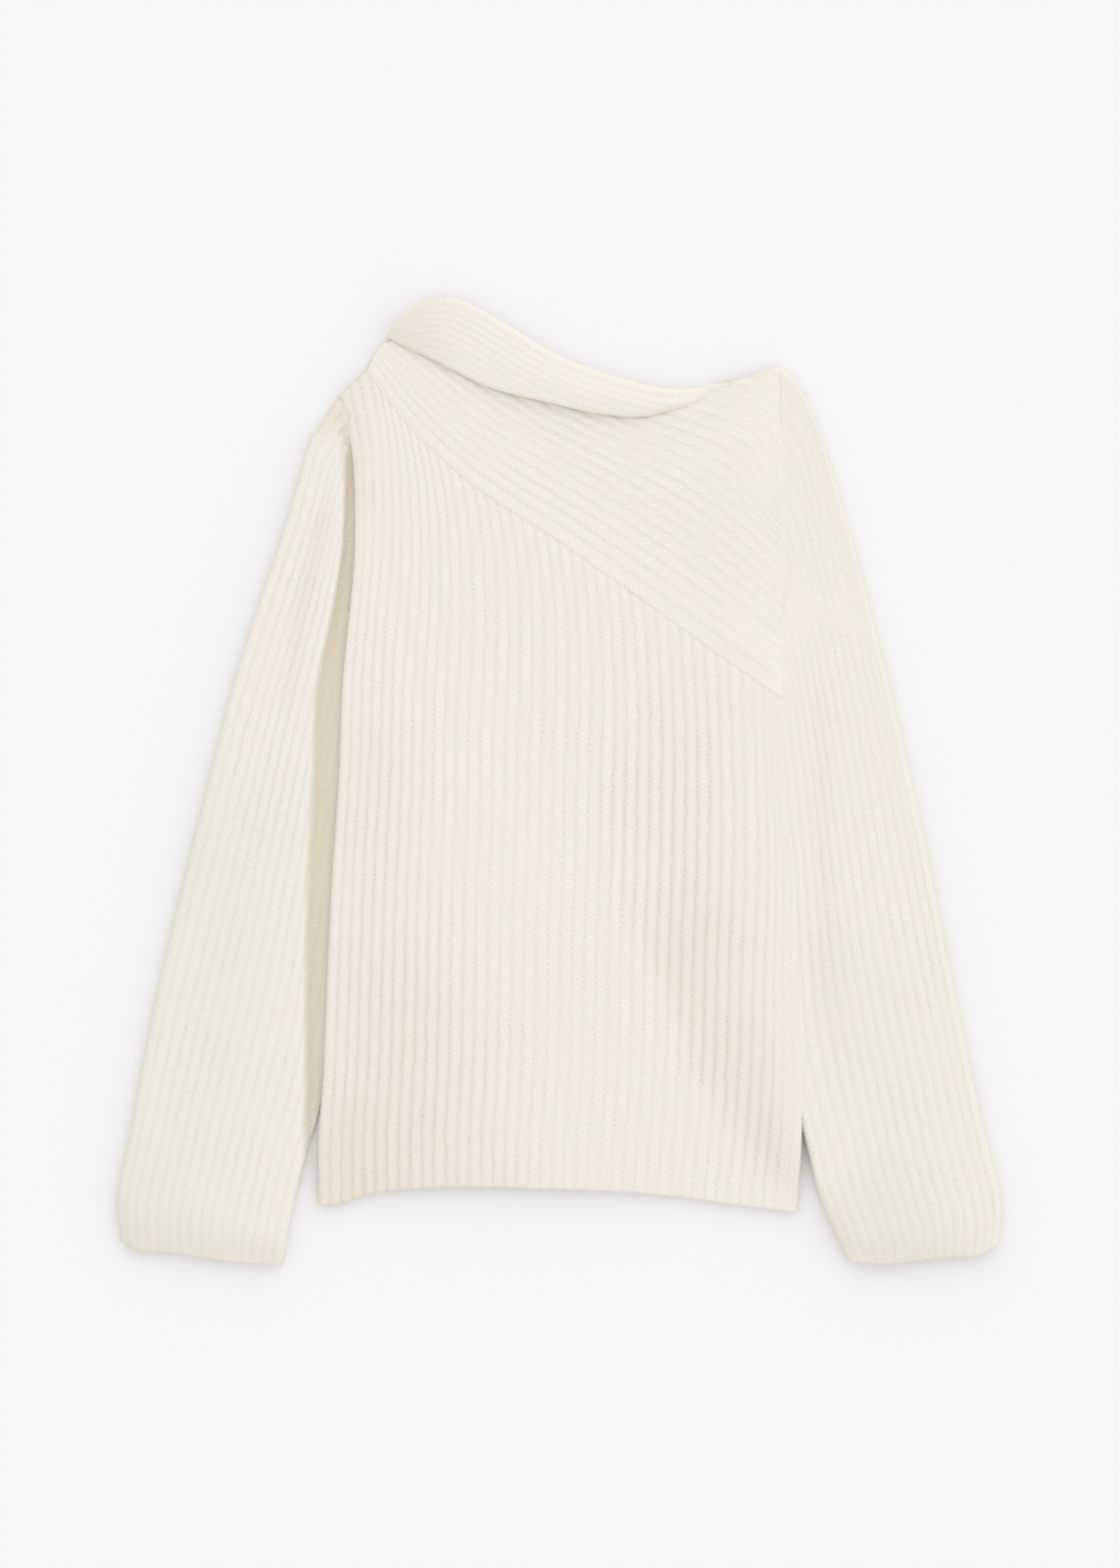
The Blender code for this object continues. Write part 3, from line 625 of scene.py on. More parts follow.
def lambswool_rib(name, hex_colour, knit, depth=1.0):
    """Lambswool, spun soft and knitted in a chunky rib.

    The eye gets columns of chevrons, a dot of painted shade in the groove beside each stitch, painted
    shade between the loops, in open grooves and in hollows, a matt surface with a faint bloom of loose
    fibre, and a cream that is mottled from yarn to yarn.
    A depth under 1 makes grooves and dots fainter, as in the collar's finer rib.
    """
    material = bpy.data.materials.new(name)
    material.use_nodes = True
    tree = material.node_tree
    shader = tree.nodes["Principled BSDF"]
    shader.inputs["Roughness"].default_value = 0.92
    shader.inputs["IOR"].default_value = 1.5
    shader.inputs["Specular IOR Level"].default_value = 0.2
    shader.inputs["Sheen Weight"].default_value = 0.15
    shader.inputs["Sheen Roughness"].default_value = 0.6

    # Ribs across and courses along, knitted a little unevenly: from one rib of 9 mm to the next
    units = add(tree, "ShaderNodeUVMap", {}, uv_map="Stitches")
    place = add(tree, "ShaderNodeTexCoord", {})
    uneven = add(tree, "ShaderNodeTexNoise", {0: place.outputs["Object"], "Scale": apart(9.09),
                                              "Detail": 2.0})
    centred = add(tree, "ShaderNodeVectorMath", {0: uneven.outputs["Color"], 1: (0.5, 0.5, 0.5)},
                  operation="SUBTRACT")
    pulled = add(tree, "ShaderNodeVectorMath", {0: centred.outputs[0], 1: (0.45, 1.6, 0),
                                                2: units.outputs[0]}, operation="MULTIPLY_ADD")
    parts = add(tree, "ShaderNodeSeparateXYZ", {0: pulled.outputs[0]})
    half = add(tree, "ShaderNodeMath", {0: parts.outputs[0], 1: 0.5}, operation="PINGPONG")
    crest = add(tree, "ShaderNodeMath", {0: half.outputs[0], 1: 2.0}, operation="MULTIPLY")
    groove = add(tree, "ShaderNodeMath", {0: 1.0, 1: crest.outputs[0]}, operation="SUBTRACT")

    # Each loop's two legs rise outwards from the middle of the rib
    slant = add(tree, "ShaderNodeMath", {0: groove.outputs[0], 1: -0.8, 2: parts.outputs[1]},
                operation="MULTIPLY_ADD")
    leg = add(tree, "ShaderNodeMath", {0: slant.outputs[0], 1: 0.5}, operation="PINGPONG")
    legs = add(tree, "ShaderNodeMapRange", {0: leg.outputs[0], 2: 0.5}, interpolation_type="SMOOTHSTEP")
    middle = add(tree, "ShaderNodeMapRange", {0: crest.outputs[0], 1: 0.78, 2: 1.0, 3: 1.0, 4: 0.6},
                 interpolation_type="SMOOTHSTEP")
    loop = add(tree, "ShaderNodeMath", {0: legs.outputs[0], 1: middle.outputs[0]}, operation="MULTIPLY")

    # The dot between two ribs, once in each course: painted shade, and a dimple in the bump
    course = add(tree, "ShaderNodeMath", {0: parts.outputs[1], 1: 0.5}, operation="PINGPONG")
    between = add(tree, "ShaderNodeMapRange", {0: course.outputs[0], 1: 0.12, 2: 0.4, 3: 1.0, 4: 0.0},
                  interpolation_type="SMOOTHSTEP")
    deep = add(tree, "ShaderNodeMapRange", {0: groove.outputs[0], 1: 0.55, 2: 0.95},
               interpolation_type="SMOOTHSTEP")
    dot = add(tree, "ShaderNodeMath", {0: between.outputs[0], 1: deep.outputs[0]}, operation="MULTIPLY")

    # Steaming opens some of the grooves and closes others, in patches of about 33 mm, so the dots' painted
    # shade and their dimples are stronger in some patches than in others
    patches = add(tree, "ShaderNodeTexNoise", {0: place.outputs["Object"], "Scale": apart(33.33),
                                               "Detail": 2.0})
    strength = add(tree, "ShaderNodeMapRange", {0: patches.outputs[0], 1: 0.38, 2: 0.62, 3: 0.25 * depth,
                                                4: depth})
    seen = add(tree, "ShaderNodeMath", {0: dot.outputs[0], 1: strength.outputs[0]}, operation="MULTIPLY")

    # Painted shade: a dark ground painted in grooves that are pulled open, and painted shade where the
    # tables put the wool in a hollow, or painted light where their share is below 0
    lie = add(tree, "ShaderNodeAttribute", {}, attribute_name="PaintedShade")
    ways = add(tree, "ShaderNodeSeparateXYZ", {0: lie.outputs["Vector"]})
    ground = add(tree, "ShaderNodeMapRange", {0: groove.outputs[0], 1: 0.3, 2: 0.95, 4: 0.26 * depth},
                 interpolation_type="SMOOTHSTEP")
    groove_and_hollow_shade = add(tree, "ShaderNodeMath", {0: ways.outputs[0], 1: ground.outputs[0], 2: ways.outputs[1]},
                 operation="MULTIPLY_ADD")

    # Fibres of 0.02 mm don't show, so tufts of about 1.5 mm stand for them
    tufts = add(tree, "ShaderNodeTexNoise", {0: place.outputs["Object"], "Scale": apart(1.5385),
                                             "Detail": 3.0})
    height = add(tree, "ShaderNodeMath", {0: tufts.outputs[0], 1: 0.35, 2: loop.outputs[0]},
                 operation="MULTIPLY_ADD")
    sunk = add(tree, "ShaderNodeMath", {0: seen.outputs[0], 1: -0.8, 2: height.outputs[0]},
               operation="MULTIPLY_ADD")
    bump = add(tree, "ShaderNodeBump", {"Height": sunk.outputs[0], "Distance": knit.stitch_relief,
                                        "Strength": 1.0})

    # Painted shade: dark between the loops, in the dots, in open grooves and in hollows
    loop_shade = add(tree, "ShaderNodeMapRange", {0: loop.outputs[0], 3: 0.05 * depth, 4: 0.0})
    closed = add(tree, "ShaderNodeMath", {0: loop_shade.outputs[0], 1: groove_and_hollow_shade.outputs[0]}, operation="ADD")
    shaded = add(tree, "ShaderNodeMath", {0: seen.outputs[0], 1: 0.24, 2: closed.outputs[0]},
                 operation="MULTIPLY_ADD", use_clamp=True)

    # Undyed yarn varies between a rosy and a greenish cream, over about 17 mm
    light = linear(hex_colour)
    rosy, green = tinted(light, 1.01, 0.985, 0.99), tinted(light, 0.98, 1.0, 0.985)
    # The greyed colour is painted shade down the sleeves and at their outer fold; the dark one is the colour
    # of every other painted shade
    grey_shade, dark = tinted(light, 0.86, 0.9, 0.86), tinted(light, 0.8, 0.75, 0.66)
    yarns = add(tree, "ShaderNodeTexNoise", {0: place.outputs["Object"], "Scale": apart(16.667),
                                             "Detail": 3.0})
    tint = add(tree, "ShaderNodeMapRange", {0: yarns.outputs[0], 1: 0.35, 2: 0.65})
    cream = add(tree, "ShaderNodeMix", {0: tint.outputs[0], 6: rosy, 7: green}, data_type="RGBA")
    wool = add(tree, "ShaderNodeMix", {0: ways.outputs[2], 6: cream.outputs[2], 7: grey_shade}, data_type="RGBA")
    colour = add(tree, "ShaderNodeMix", {0: shaded.outputs[0], 6: wool.outputs[2], 7: dark},
                 data_type="RGBA")
    tree.links.new(colour.outputs[2], shader.inputs["Base Color"])
    tree.links.new(bump.outputs[0], shader.inputs["Normal"])
    return material


# Pieces

class PanelForm(NamedTuple):
    """One panel of the upper layer: its size, how it is finished, how far its ribs open and where shade is
    painted on it.
    """

    size: tuple
    slack: float
    phase: float
    opened: tuple
    # Painted shade as strips, and painted light where a share is below 0
    sunk: tuple
    # One each for the left, right, first and last edge: its radius, and where its ribs fade out
    radii: tuple
    rib_ends: tuple
    creases: tuple = ()
    # How far its left edge stands over a seam, and how far in that ends
    proud: float = 0.0
    proud_width: float = 0.006


# How a panel is finished, in metres: the width over which its loft and its waves rise from its edge,
# the bare selvedge and the width over which its ribs rise, and the rounding of its inner side
LOFT_WIDTH = 0.02
SELVEDGE = (0.004, 0.022)
INNER_RADIUS = 0.002
INNER_ROUNDING = 0.35
BACK_COLLAR_ROUNDING = 0.3


def panel(name, material, grids, at, turns, knit, layers, form):
    """A ribbed panel of the upper layer, resting on the back and carried by the sleeves.

    The grids and the fractions along and across are those of its outer and its inner side.
    """
    (outer, inner), ((along, across), (along_inside, across_inside)) = grids, at
    edges = edge_distance(across, along, form.size)
    inside = edge_distance(across_inside, along_inside, form.size)
    gap = knit.wall + layers.pressed_gap
    base = front_form(outer, layers) + gap + layers.front_loft * smooth(edges / LOFT_WIDTH)
    relief = slack(outer, form.slack, form.phase) - soft(outer, form.creases) * MM
    proud = form.proud * (1 - smooth(across[None, :] * form.size[0] / form.proud_width))
    relief = relief * smooth(edges / LOFT_WIDTH) + proud
    bare, width = SELVEDGE
    selvedge = smooth((side_edge(BODY_RIGHT, outer[..., 1]) - outer[..., 0] - bare) / width)
    open_share = opened(outer, form.opened) * selvedge
    # The wool's painted shade: how open the grooves are, and painted hollow shade from the tables
    lie = np.dstack((open_share, soft(outer, form.sunk), np.zeros_like(open_share)))
    ribs = rib(turns, knit) * rims(across, along, form.size, form.rib_ends)
    ribs = ribs * pulled_flat(open_share) * selvedge
    top = base + knit.wall * (0.5 + 0.5 * rims(across, along, form.size, form.radii)) + relief + ribs
    low = front_form(inner, layers) + gap + layers.front_loft * smooth(inside / LOFT_WIDTH)
    low = low + INNER_ROUNDING * knit.wall * (1 - roll(inside, INNER_RADIUS))
    upper = raised(outer, top)
    return slab(name, material, upper, raised(inner, low), *at, knit_units(upper, turns, knit.course), lie)


def edge_distance(across, along, size):
    """Distance in from the nearest edge, for a grid of fractions of a piece's size."""
    near_side = np.minimum(across, 1 - across)[None, :] * size[0]
    near_end = np.minimum(along, 1 - along)[:, None] * size[1]
    return np.minimum(near_side, near_end)


def rims(across, along, size, radii):
    """Height near the edges, from 0 to 1, with one radius each for left, right, first and last."""
    left, right, first, last = radii
    sides = np.minimum(roll(across * size[0], left), roll((1 - across) * size[0], right))
    ends = np.minimum(roll(along * size[1], first), roll((1 - along) * size[1], last))
    return np.minimum(sides[None, :], ends[:, None])


def odd_count(fractions):
    """The same fractions with one more in the middle if their number is even."""
    if len(fractions) % 2 == 0:
        middle = len(fractions) // 2
        fractions = np.insert(fractions, middle, (fractions[middle - 1] + fractions[middle]) / 2)
    return fractions


def knit_front(knit, layers):
    """The front below the diagonal seam."""
    top = cornered(line(FRONT_SHOULDER), line(SEAM), SHOULDER_SHARE)
    around = line(HEM), top, line(BODY_LEFT), line(BODY_RIGHT)
    across = np.linspace(0, 1, FRONT_RIBS * knit.rib_samples + 1)
    across_inside = np.linspace(0, 1, FRONT_RIBS + 1)
    along = odd_count(steps_along(FRONT_SIZE[1], knit.course))
    at = (along, across), (along[::2], across_inside)
    outer, inner = (patch(*around, columns, rows) for rows, columns in at)
    form = PanelForm(size=FRONT_SIZE, slack=0.0004, phase=0.4, opened=FRONT_OPEN, sunk=FRONT_PAINTED_SHADE,
                     radii=(0.009, 0.016, 0.003, 0.0005), rib_ends=(0.004, 0.004, 0.003, 0.007))
    wool = lambswool_rib("Lambswool rib, front", knit.body_wool, knit)
    piece = panel("front_knit", wool, (outer, inner), at, across * FRONT_RIBS, knit, layers, form)
    declare(piece, "front_panel")


def band_line(share, tip=()):
    """Points at one share of the band's width, from its lower edge (0) to its fold (1)."""
    rows = np.array(COLLAR + tuple(tip), dtype=float)
    return rows[:, 2:] + share * (rows[:, :2] - rows[:, 2:])


def knit_yoke(knit, layers):
    """The upper front, whose ribs leave the neck seam and end at the left armhole."""
    lap = -layers.seam_lap
    hidden_edge = band_line(np.array(YOKE_NECK_SHARES)[:, None])
    neck = line(np.vstack((SHOULDER_LEFT[-1:], hidden_edge[1:], NECKLINE_RIGHT[:1])))
    left = cornered(line(SHOULDER_LEFT, (lap, lap)), neck, YOKE_SHOULDER_SHARE)
    around = line(SEAM, (lap, lap)), line(NECKLINE_RIGHT), left, line(RIGHT_ARMHOLE, (0, lap))
    along = odd_count(steps_along(YOKE_SIZE[1], YOKE_STEP))
    across, across_inside = (np.linspace(0, 1, points) for points in YOKE_POINTS)
    at = (along, across), (along[::2], across_inside)
    outer, inner = (patch(*around, rows, columns).transpose(1, 0, 2) for rows, columns in at)
    form = PanelForm(size=YOKE_SIZE, slack=0.0002, phase=1.9, opened=YOKE_OPEN, sunk=YOKE_PAINTED_LIGHT,
                     radii=(0.0012, 0.004, 0.003, 0.0008), rib_ends=(0.001, 0.005, 0.008, 0.018),
                     creases=YOKE_CREASES, proud=0.0006)
    wool = lambswool_rib("Lambswool rib, yoke", knit.yoke_wool, knit)
    turns = rib_number(outer, YOKE_RIB_PATHS, YOKE_PITCH * MM)
    piece = panel("yoke_knit", wool, (outer, inner), at, turns, knit, layers, form)
    declare(piece, "front_yoke")


def back_top():
    """The back's top edge as rows, and the fractions where its neck starts and ends."""
    rows = np.vstack((BACK_SHOULDER_LEFT, band_line(BACK_NECK_SEAM), BACK_SHOULDER_RIGHT))
    at = with_fractions(rows)[:, 0]
    return np.column_stack((at, rows)), at[len(BACK_SHOULDER_LEFT)], at[-1 - len(BACK_SHOULDER_RIGHT)]


def knit_back(knit, layers):
    """The back, flat on the ground, and the back half of the collar."""
    rows, start, end = back_top()
    bottom = np.array(HEM) + (0, BACK_INSET)
    bottom[0, 0] += BACK_INSET
    bottom[-1, 0] -= BACK_INSET
    left = np.array(BODY_LEFT) + (BACK_INSET, 0)
    right = np.array(BODY_RIGHT + RIGHT_ARMHOLE[1:] + BACK_CORNER_RIGHT) - (BACK_INSET, 0)
    left[0], right[0], left[-1], right[-1] = bottom[0], bottom[-1], rows[0, 1:], rows[-1, 1:]
    across = np.unique(np.r_[np.linspace(0, 1, BACK_POINTS), np.linspace(start, end, BACK_NECK_POINTS)])
    along = steps_along(BACK_SIZE[1], BACK_STEP)
    grid = patch(line(bottom), line(rows), line(left), line(right), across, along)
    carried = lift(grid, layers)
    rim = INNER_ROUNDING * knit.wall * (1 - roll(edge_distance(across, along, BACK_SIZE), INNER_RADIUS))
    upper = raised(grid, carried + knit.wall - rim)
    wool = lambswool_rib("Lambswool rib, back", knit.body_wool, knit)
    at = (along, across)
    piece = slab("back_knit", wool, upper, raised(grid, carried + rim), at, at,
                 knit_units(upper, across * FRONT_RIBS, knit.course))
    declare(piece, "back_panel")
    nearly = 1e-9
    knit_back_collar(knit, layers, rows, across[(across > start - nearly) & (across < end + nearly)])


def knit_back_collar(knit, layers, rows, stations):
    """The back half of the collar, a single strip up from the back's neckline."""
    low = line(rows, (0, -layers.seam_lap))(stations)
    high = line(band_line(BACK_COLLAR_TOP))((stations - stations[0]) / (stations[-1] - stations[0]))
    across = np.linspace(0, 1, BACK_COLLAR_POINTS)
    strip = low[:, None] + (high - low)[:, None] * across[None, :, None]
    far = edge_distance(across, np.full(len(stations), 0.5), (BACK_COLLAR_WIDTH, 1))
    rim = BACK_COLLAR_ROUNDING * knit.wall * (1 - roll(far, INNER_RADIUS))
    upper = raised(strip, knit.wall - rim)
    wool = lambswool_rib("Lambswool rib, back collar", knit.collar_wool, knit)
    at = (stations, across)
    piece = slab("back_collar_knit", wool, upper, raised(strip, rim), at, at,
                 knit_units(upper, across * BACK_COLLAR_RIBS, knit.course))
    declare(piece, "back_collar")


# The folded band: (height or share, share of its length over which it comes), where its free edge
# stands off the yoke in the middle, is tucked in at the shoulder, and thins and sinks at its tip
BAND_STAND = (0.0016, 0.08, 0.8)
SHOULDER_TUCK = (0.0016, 0.12)
TIP_TUCK = (0.0006, 0.32)
TIP_SINK = (0.0024, 0.28)
TIP_WALL = 0.3

# Over what length its two ends are rounded, in metres
SHOULDER_ROUND = 0.03
TIP_ROUND = 0.014

# Its roundness, in metres: the fold, the puff of the band, its free edge and half its inner height
FOLD_RADIUS = 0.007
BAND_PUFF = 0.002
BAND_EDGE = 0.003
INNER_HALF = 0.0002

# Its ribs' height and roundness, what is rounded off its free edge, and the most that its fold and
# its wall may take of its width, as shares, then points around its fold, inside it and down its leg
BAND_RIBS = (0.5, 0.8)
EDGE_SHARE = 0.6
FOLD_SHARE = 0.45
WALL_SHARE = 0.3
FOLD_POINTS = 15
BEND_POINTS = 9
LEG_POINTS = 8


def band_height(station, layers):
    """Wall of the band, height of its underside, and how far its free edge stands, at one station."""
    away = smooth((1 - station) / TIP_SINK[1])
    wall = layers.collar_wall * (TIP_WALL + (1 - TIP_WALL) * away)
    rest = layers.collar_over - TIP_SINK[0] * (1 - away)
    height, start, length = BAND_STAND
    stand = height * np.sin(np.pi * np.clip((station - start) / length, 0, 1)) ** 2
    stand = stand - TIP_TUCK[0] * (1 - smooth((1 - station) / TIP_TUCK[1]))
    return away, wall, rest, stand - SHOULDER_TUCK[0] * (1 - smooth(station / SHOULDER_TUCK[1]))


def band_section(width, station, knit, layers):
    """Rows (share of the width, height, ribs) around the folded band, and (share, height) inside it."""
    away, wall, rest, stand = band_height(station, layers)
    over, under = rest + wall, layers.collar_under
    middle, half = (over + under) / 2, (over - under) / 2
    turn = min(FOLD_RADIUS, FOLD_SHARE * width) / width
    seam = NECK_SEAM + NECK_SEAM_GAP * MM / width

    # Outside: from the free edge over the band, around the fold and down the hidden leg
    flat = np.linspace(0, 1, COLLAR_RIBS * knit.rib_samples + 1)
    share = flat * (1 - turn)
    passed = (flat - 1) * (1 - turn) * width / (COLLAR_PITCH * MM)
    ribs = np.abs(np.sin(np.pi * passed)) ** BAND_RIBS[1] * BAND_RIBS[0] * knit.rib_height
    edge = roll(share * width, BAND_EDGE)
    upper = over + stand * (1 - flat) - EDGE_SHARE * wall * (1 - edge)
    upper = upper + (ribs + BAND_PUFF * np.sin(np.pi * flat)) * edge * away
    angle = np.linspace(0, np.pi, FOLD_POINTS)[1:]
    fold = np.column_stack((1 - turn + turn * np.sin(angle), middle + half * np.cos(angle),
                            angle / np.pi))
    hidden = np.linspace(1 - turn, seam, LEG_POINTS)[1:]
    leg = np.column_stack((hidden, np.full_like(hidden, under), 1 + np.arange(1, LEG_POINTS) / 2))
    outside = np.vstack((np.column_stack((share, upper, passed)), fold, leg))

    # Inside: the same way, with the wall's thickness less
    thin = min(wall, WALL_SHARE * width) / width
    inner_half = max(half - wall, INNER_HALF)
    arc = np.linspace(0, np.pi, BEND_POINTS)
    bend = np.column_stack((1 - turn + (turn - thin) * np.sin(arc), middle + inner_half * np.cos(arc)))
    free_edge = (0, rest + stand + 0.25 * wall), (0.06, rest + 0.9 * stand)
    return outside, np.vstack((*free_edge, bend, (seam, under + wall)))


def knit_collar(knit, layers):
    """The front of the collar: a band seamed to the yoke and folded over on itself."""
    stations = steps_along(COLLAR_LENGTH, COLLAR_STEP)
    at = with_fractions(band_line(0.5, COLLAR_TIP))[:, 0]
    feet, folds = (line(np.column_stack((at, band_line(share, COLLAR_TIP))))(stations)
                   for share in (0, 1))
    middle = (layers.collar_over + layers.collar_under + layers.collar_wall) / 2
    outer, inner, turns = [], [], []
    for foot, fold, station in zip(feet, folds, stations):
        outside, inside = band_section(np.linalg.norm(fold - foot), station, knit, layers)
        turns.append(outside[:, 2])
        end = roll(station * COLLAR_LENGTH, SHOULDER_ROUND) * roll((1 - station) * COLLAR_LENGTH, TIP_ROUND)
        for rows, section, least in ((outer, outside, 0.35), (inner, inside, 0.5)):
            flat = foot + section[:, :1] * (fold - foot)
            height = middle + (section[:, 1] - middle) * (least + (1 - least) * end)
            rows.append(np.column_stack((flat, height)))
    outer, inner = np.array(outer), np.array(inner)
    units = knit_units(outer, np.array(turns), knit.course)
    outer_at, inner_at = (np.linspace(0, 1, grid.shape[1]) for grid in (outer, inner))
    # Painted shade at the band's left end, where it rolls down at the shoulder
    sunk = soft(outer[..., :2], COLLAR_PAINTED_SHADE)
    lie = np.dstack((np.full_like(sunk, PLAIN_SHADE_PAINT[0]), sunk, np.zeros_like(sunk)))
    wool = lambswool_rib("Lambswool fine rib, collar", knit.collar_wool, knit, 0.6)
    piece = slab("collar_knit", wool, outer, inner, (stations, outer_at), (stations, inner_at), units, lie)
    declare(piece, "collar")


# Fractions across a sleeve around its outer fold, closer together than the ribs' own, and across
# its plain inside
SLEEVE_TURN = np.array((0, 0.0025, 0.007, 0.014, 0.023))
HOLLOW_ACROSS = np.linspace(0.02, 0.97, 21)

# A sleeve's outer fold and inner edge, and how far in from the fold its painted grey shade reaches and
# its ribs and its waves rise, in metres
SLEEVE_FOLD = 0.007
SLEEVE_INNER_EDGE = 0.006
FOLD_SHADE_WIDTH = 0.006
SLEEVE_RIB_RIM = 0.009
SLEEVE_WAVE_RIM = 0.02

# Its rounded ends, how far it rises in from the cuff, and how far its ribs fade towards the head
SLEEVE_END = 0.003
CUFF_RISE = 0.035
HEAD_FADE = 0.12

# Painted shade in the hollow beside the body, in metres: the width over which the painted shade
# deepens outwards, then the y at which it starts and the length over which it comes
VALLEY_SHADE_WIDTH = 0.009
VALLEY_SHADE_END = (-0.28, 0.05)

# How far the head may rise over its sewn height, as a share of the crown's rise, and how thick its
# inner edge is, as a share: below the armhole, and what the armhole adds
HEAD_MARGIN = 0.12
LEAST_INNER_EDGE = 0.35
HEAD_INNER_EDGE = 0.61

# Shares that are left or added: ribs at the head and where they are pressed, painted shade under
# the body's edge, and painted grey shade at the outer fold; then the height of the waves in metres, and their
# phase
HEAD_RIBS = 0.3
PRESSED_RIBS = 0.1
UNDER_EDGE_SHADE = 0.45
FOLD_GREY_SHADE = 0.45
SLEEVE_SLACK = (0.0006, 2.7)


class SleeveForm(NamedTuple):
    """One sleeve: where it lies, its form beside the body, how far its ribs open and where shade is painted
    on it.
    """

    # -1 for the wearer's right sleeve, which lies on the left in the frame, and 1 for the left
    side: int
    outlines: tuple
    body_edge: tuple
    valley: tuple
    armhole: tuple
    creases: tuple
    opened: tuple
    # Painted shade as strips, and painted grey shade down the sleeve
    sunk: tuple
    grey_shade: tuple
    # How much painted shade the pressed stretch beside the body gets
    hollow: float


class SleeveShape:
    """The form of a sleeve pressed flat: low under the body's edge, with a crown beyond it."""

    def __init__(self, form, layers):
        self.form = form
        self.around = [line(points) for points in form.outlines]
        self.pressed = layers.right_pressed if form.side < 0 else layers.left_pressed
        self.rise = layers.sleeve_crown - self.pressed
        self.head = (layers.sleeve_beside - self.pressed) / self.rise
        self.wall = layers.sleeve_wall

    def outward(self, grid):
        """How far out from the body's edge each point lies."""
        return (grid[..., 0] - side_edge(self.form.body_edge, grid[..., 1])) * self.form.side

    def sewn_share(self, grid):
        """How far a point is up the armhole, from 0 below it to 1."""
        top, bottom = self.form.armhole
        return smooth((grid[..., 1] / MM - bottom) / (top - bottom))

    def crown(self, grid, across, along):
        """How much of its crown the sleeve has: none under the body's edge, and less at the cuff."""
        y = grid[..., 1] / MM
        at, floors, banks = zip(*self.form.valley)
        floor, bank = (np.interp(y, at, widths) for widths in (floors, banks))
        free = smooth((SLEEVE_FREE - y) / SLEEVE_FREE_RAMP) * smooth((1 - across) / FREE_WIDTH)
        sewn = self.sewn_share(grid)
        beyond = smooth((self.outward(grid) / MM - floor) / bank)
        crown = np.maximum(np.maximum(beyond, free), sewn * self.head)
        cuff = 0.5 + 0.5 * smooth(along * SLEEVE_SIZE[1] / CUFF_RISE)[:, None]
        return np.minimum(crown, 1 - sewn * (1 - HEAD_MARGIN - self.head)) * cuff

    def layout(self, across, along):
        """Plan, half of the height, and crown at some fractions across and along."""
        grid = patch(*self.around, across, along)
        crown = self.crown(grid, across, along)
        return grid, (self.pressed + self.rise * crown) / 2, crown

    def reach(self, grid, half, across):
        """How far the outer side is from the middle: rounded at the outer fold and the inner edge."""
        least = LEAST_INNER_EDGE + HEAD_INNER_EDGE * self.sewn_share(grid)
        edge = least + (1 - least) * roll((1 - across) * SLEEVE_SIZE[0], SLEEVE_INNER_EDGE)
        return half * (roll(across * SLEEVE_SIZE[0], SLEEVE_FOLD) * edge)

    def thinned(self, along):
        """How much of the wall's half is rounded off at the cuff and at the armhole."""
        return 0.5 * self.wall * (1 - roll(along * SLEEVE_SIZE[1], SLEEVE_END)[:, None])

    def upper(self, across, along, knit):
        """The ribbed upper side: its points, how far its grooves are open and its painted shade, and its flat
        area.
        """
        form, from_fold = self.form, across * SLEEVE_SIZE[0]
        grid, half, crown = self.layout(across, along)
        pitch = np.linalg.norm(np.gradient(grid, across, axis=1), axis=2) / SLEEVE_RIBS
        head = HEAD_RIBS + (1 - HEAD_RIBS) * smooth((1 - along) * SLEEVE_SIZE[1] / HEAD_FADE)
        full = np.clip(pitch / (SLEEVE_PITCH * MM), 0.2, 1) ** 1.5 * head[:, None]
        open_share = opened(grid, form.opened) * full
        ribs = rib(across * SLEEVE_RIBS, knit) * (PRESSED_RIBS + (1 - PRESSED_RIBS) * crown)
        ribs = ribs * full * roll(from_fold, SLEEVE_RIB_RIM) * pulled_flat(open_share)
        # Painted shade in the hollow under the body's edge, and painted grey shade down the sleeve and at its
        # outer fold
        beyond = smooth(self.outward(grid) / VALLEY_SHADE_WIDTH)
        hollow = (1 - crown) * (UNDER_EDGE_SHADE + (1 - UNDER_EDGE_SHADE) * beyond)
        hollow = hollow * smooth((grid[..., 1] - VALLEY_SHADE_END[0]) / VALLEY_SHADE_END[1])
        grey_shade = soft(grid, form.grey_shade) + FOLD_GREY_SHADE * (1 - roll(from_fold, FOLD_SHADE_WIDTH))
        lie = np.dstack((open_share * crown, soft(grid, form.sunk) + form.hollow * hollow, grey_shade))
        height, phase = SLEEVE_SLACK
        waves = slack(grid, height, phase * form.side) - soft(grid, form.creases) * MM
        top = half + self.reach(grid, half, across) + ribs
        top = top + waves * crown * roll(from_fold, SLEEVE_WAVE_RIM) - self.thinned(along)
        return raised(grid, top), lie, plan_area(grid)

    def lower(self, across, along):
        """The plain underside, from its inner edge back to the outer fold, which the upper side has."""
        grid, half, _ = self.layout(across, along)
        low = half - self.reach(grid, half, across) + self.thinned(along)
        return raised(grid, low)[:, :0:-1]

    def hollow(self, along):
        """The plain inside, all round."""
        grid, half, _ = self.layout(HOLLOW_ACROSS, along)
        inner = np.r_[0, np.ones(len(HOLLOW_ACROSS) - 2), 0]
        reach = (half - np.minimum(self.wall, 0.85 * half)) * inner
        return np.concatenate((raised(grid, half + reach), raised(grid, half - reach)[:, -2:0:-1]), axis=1)


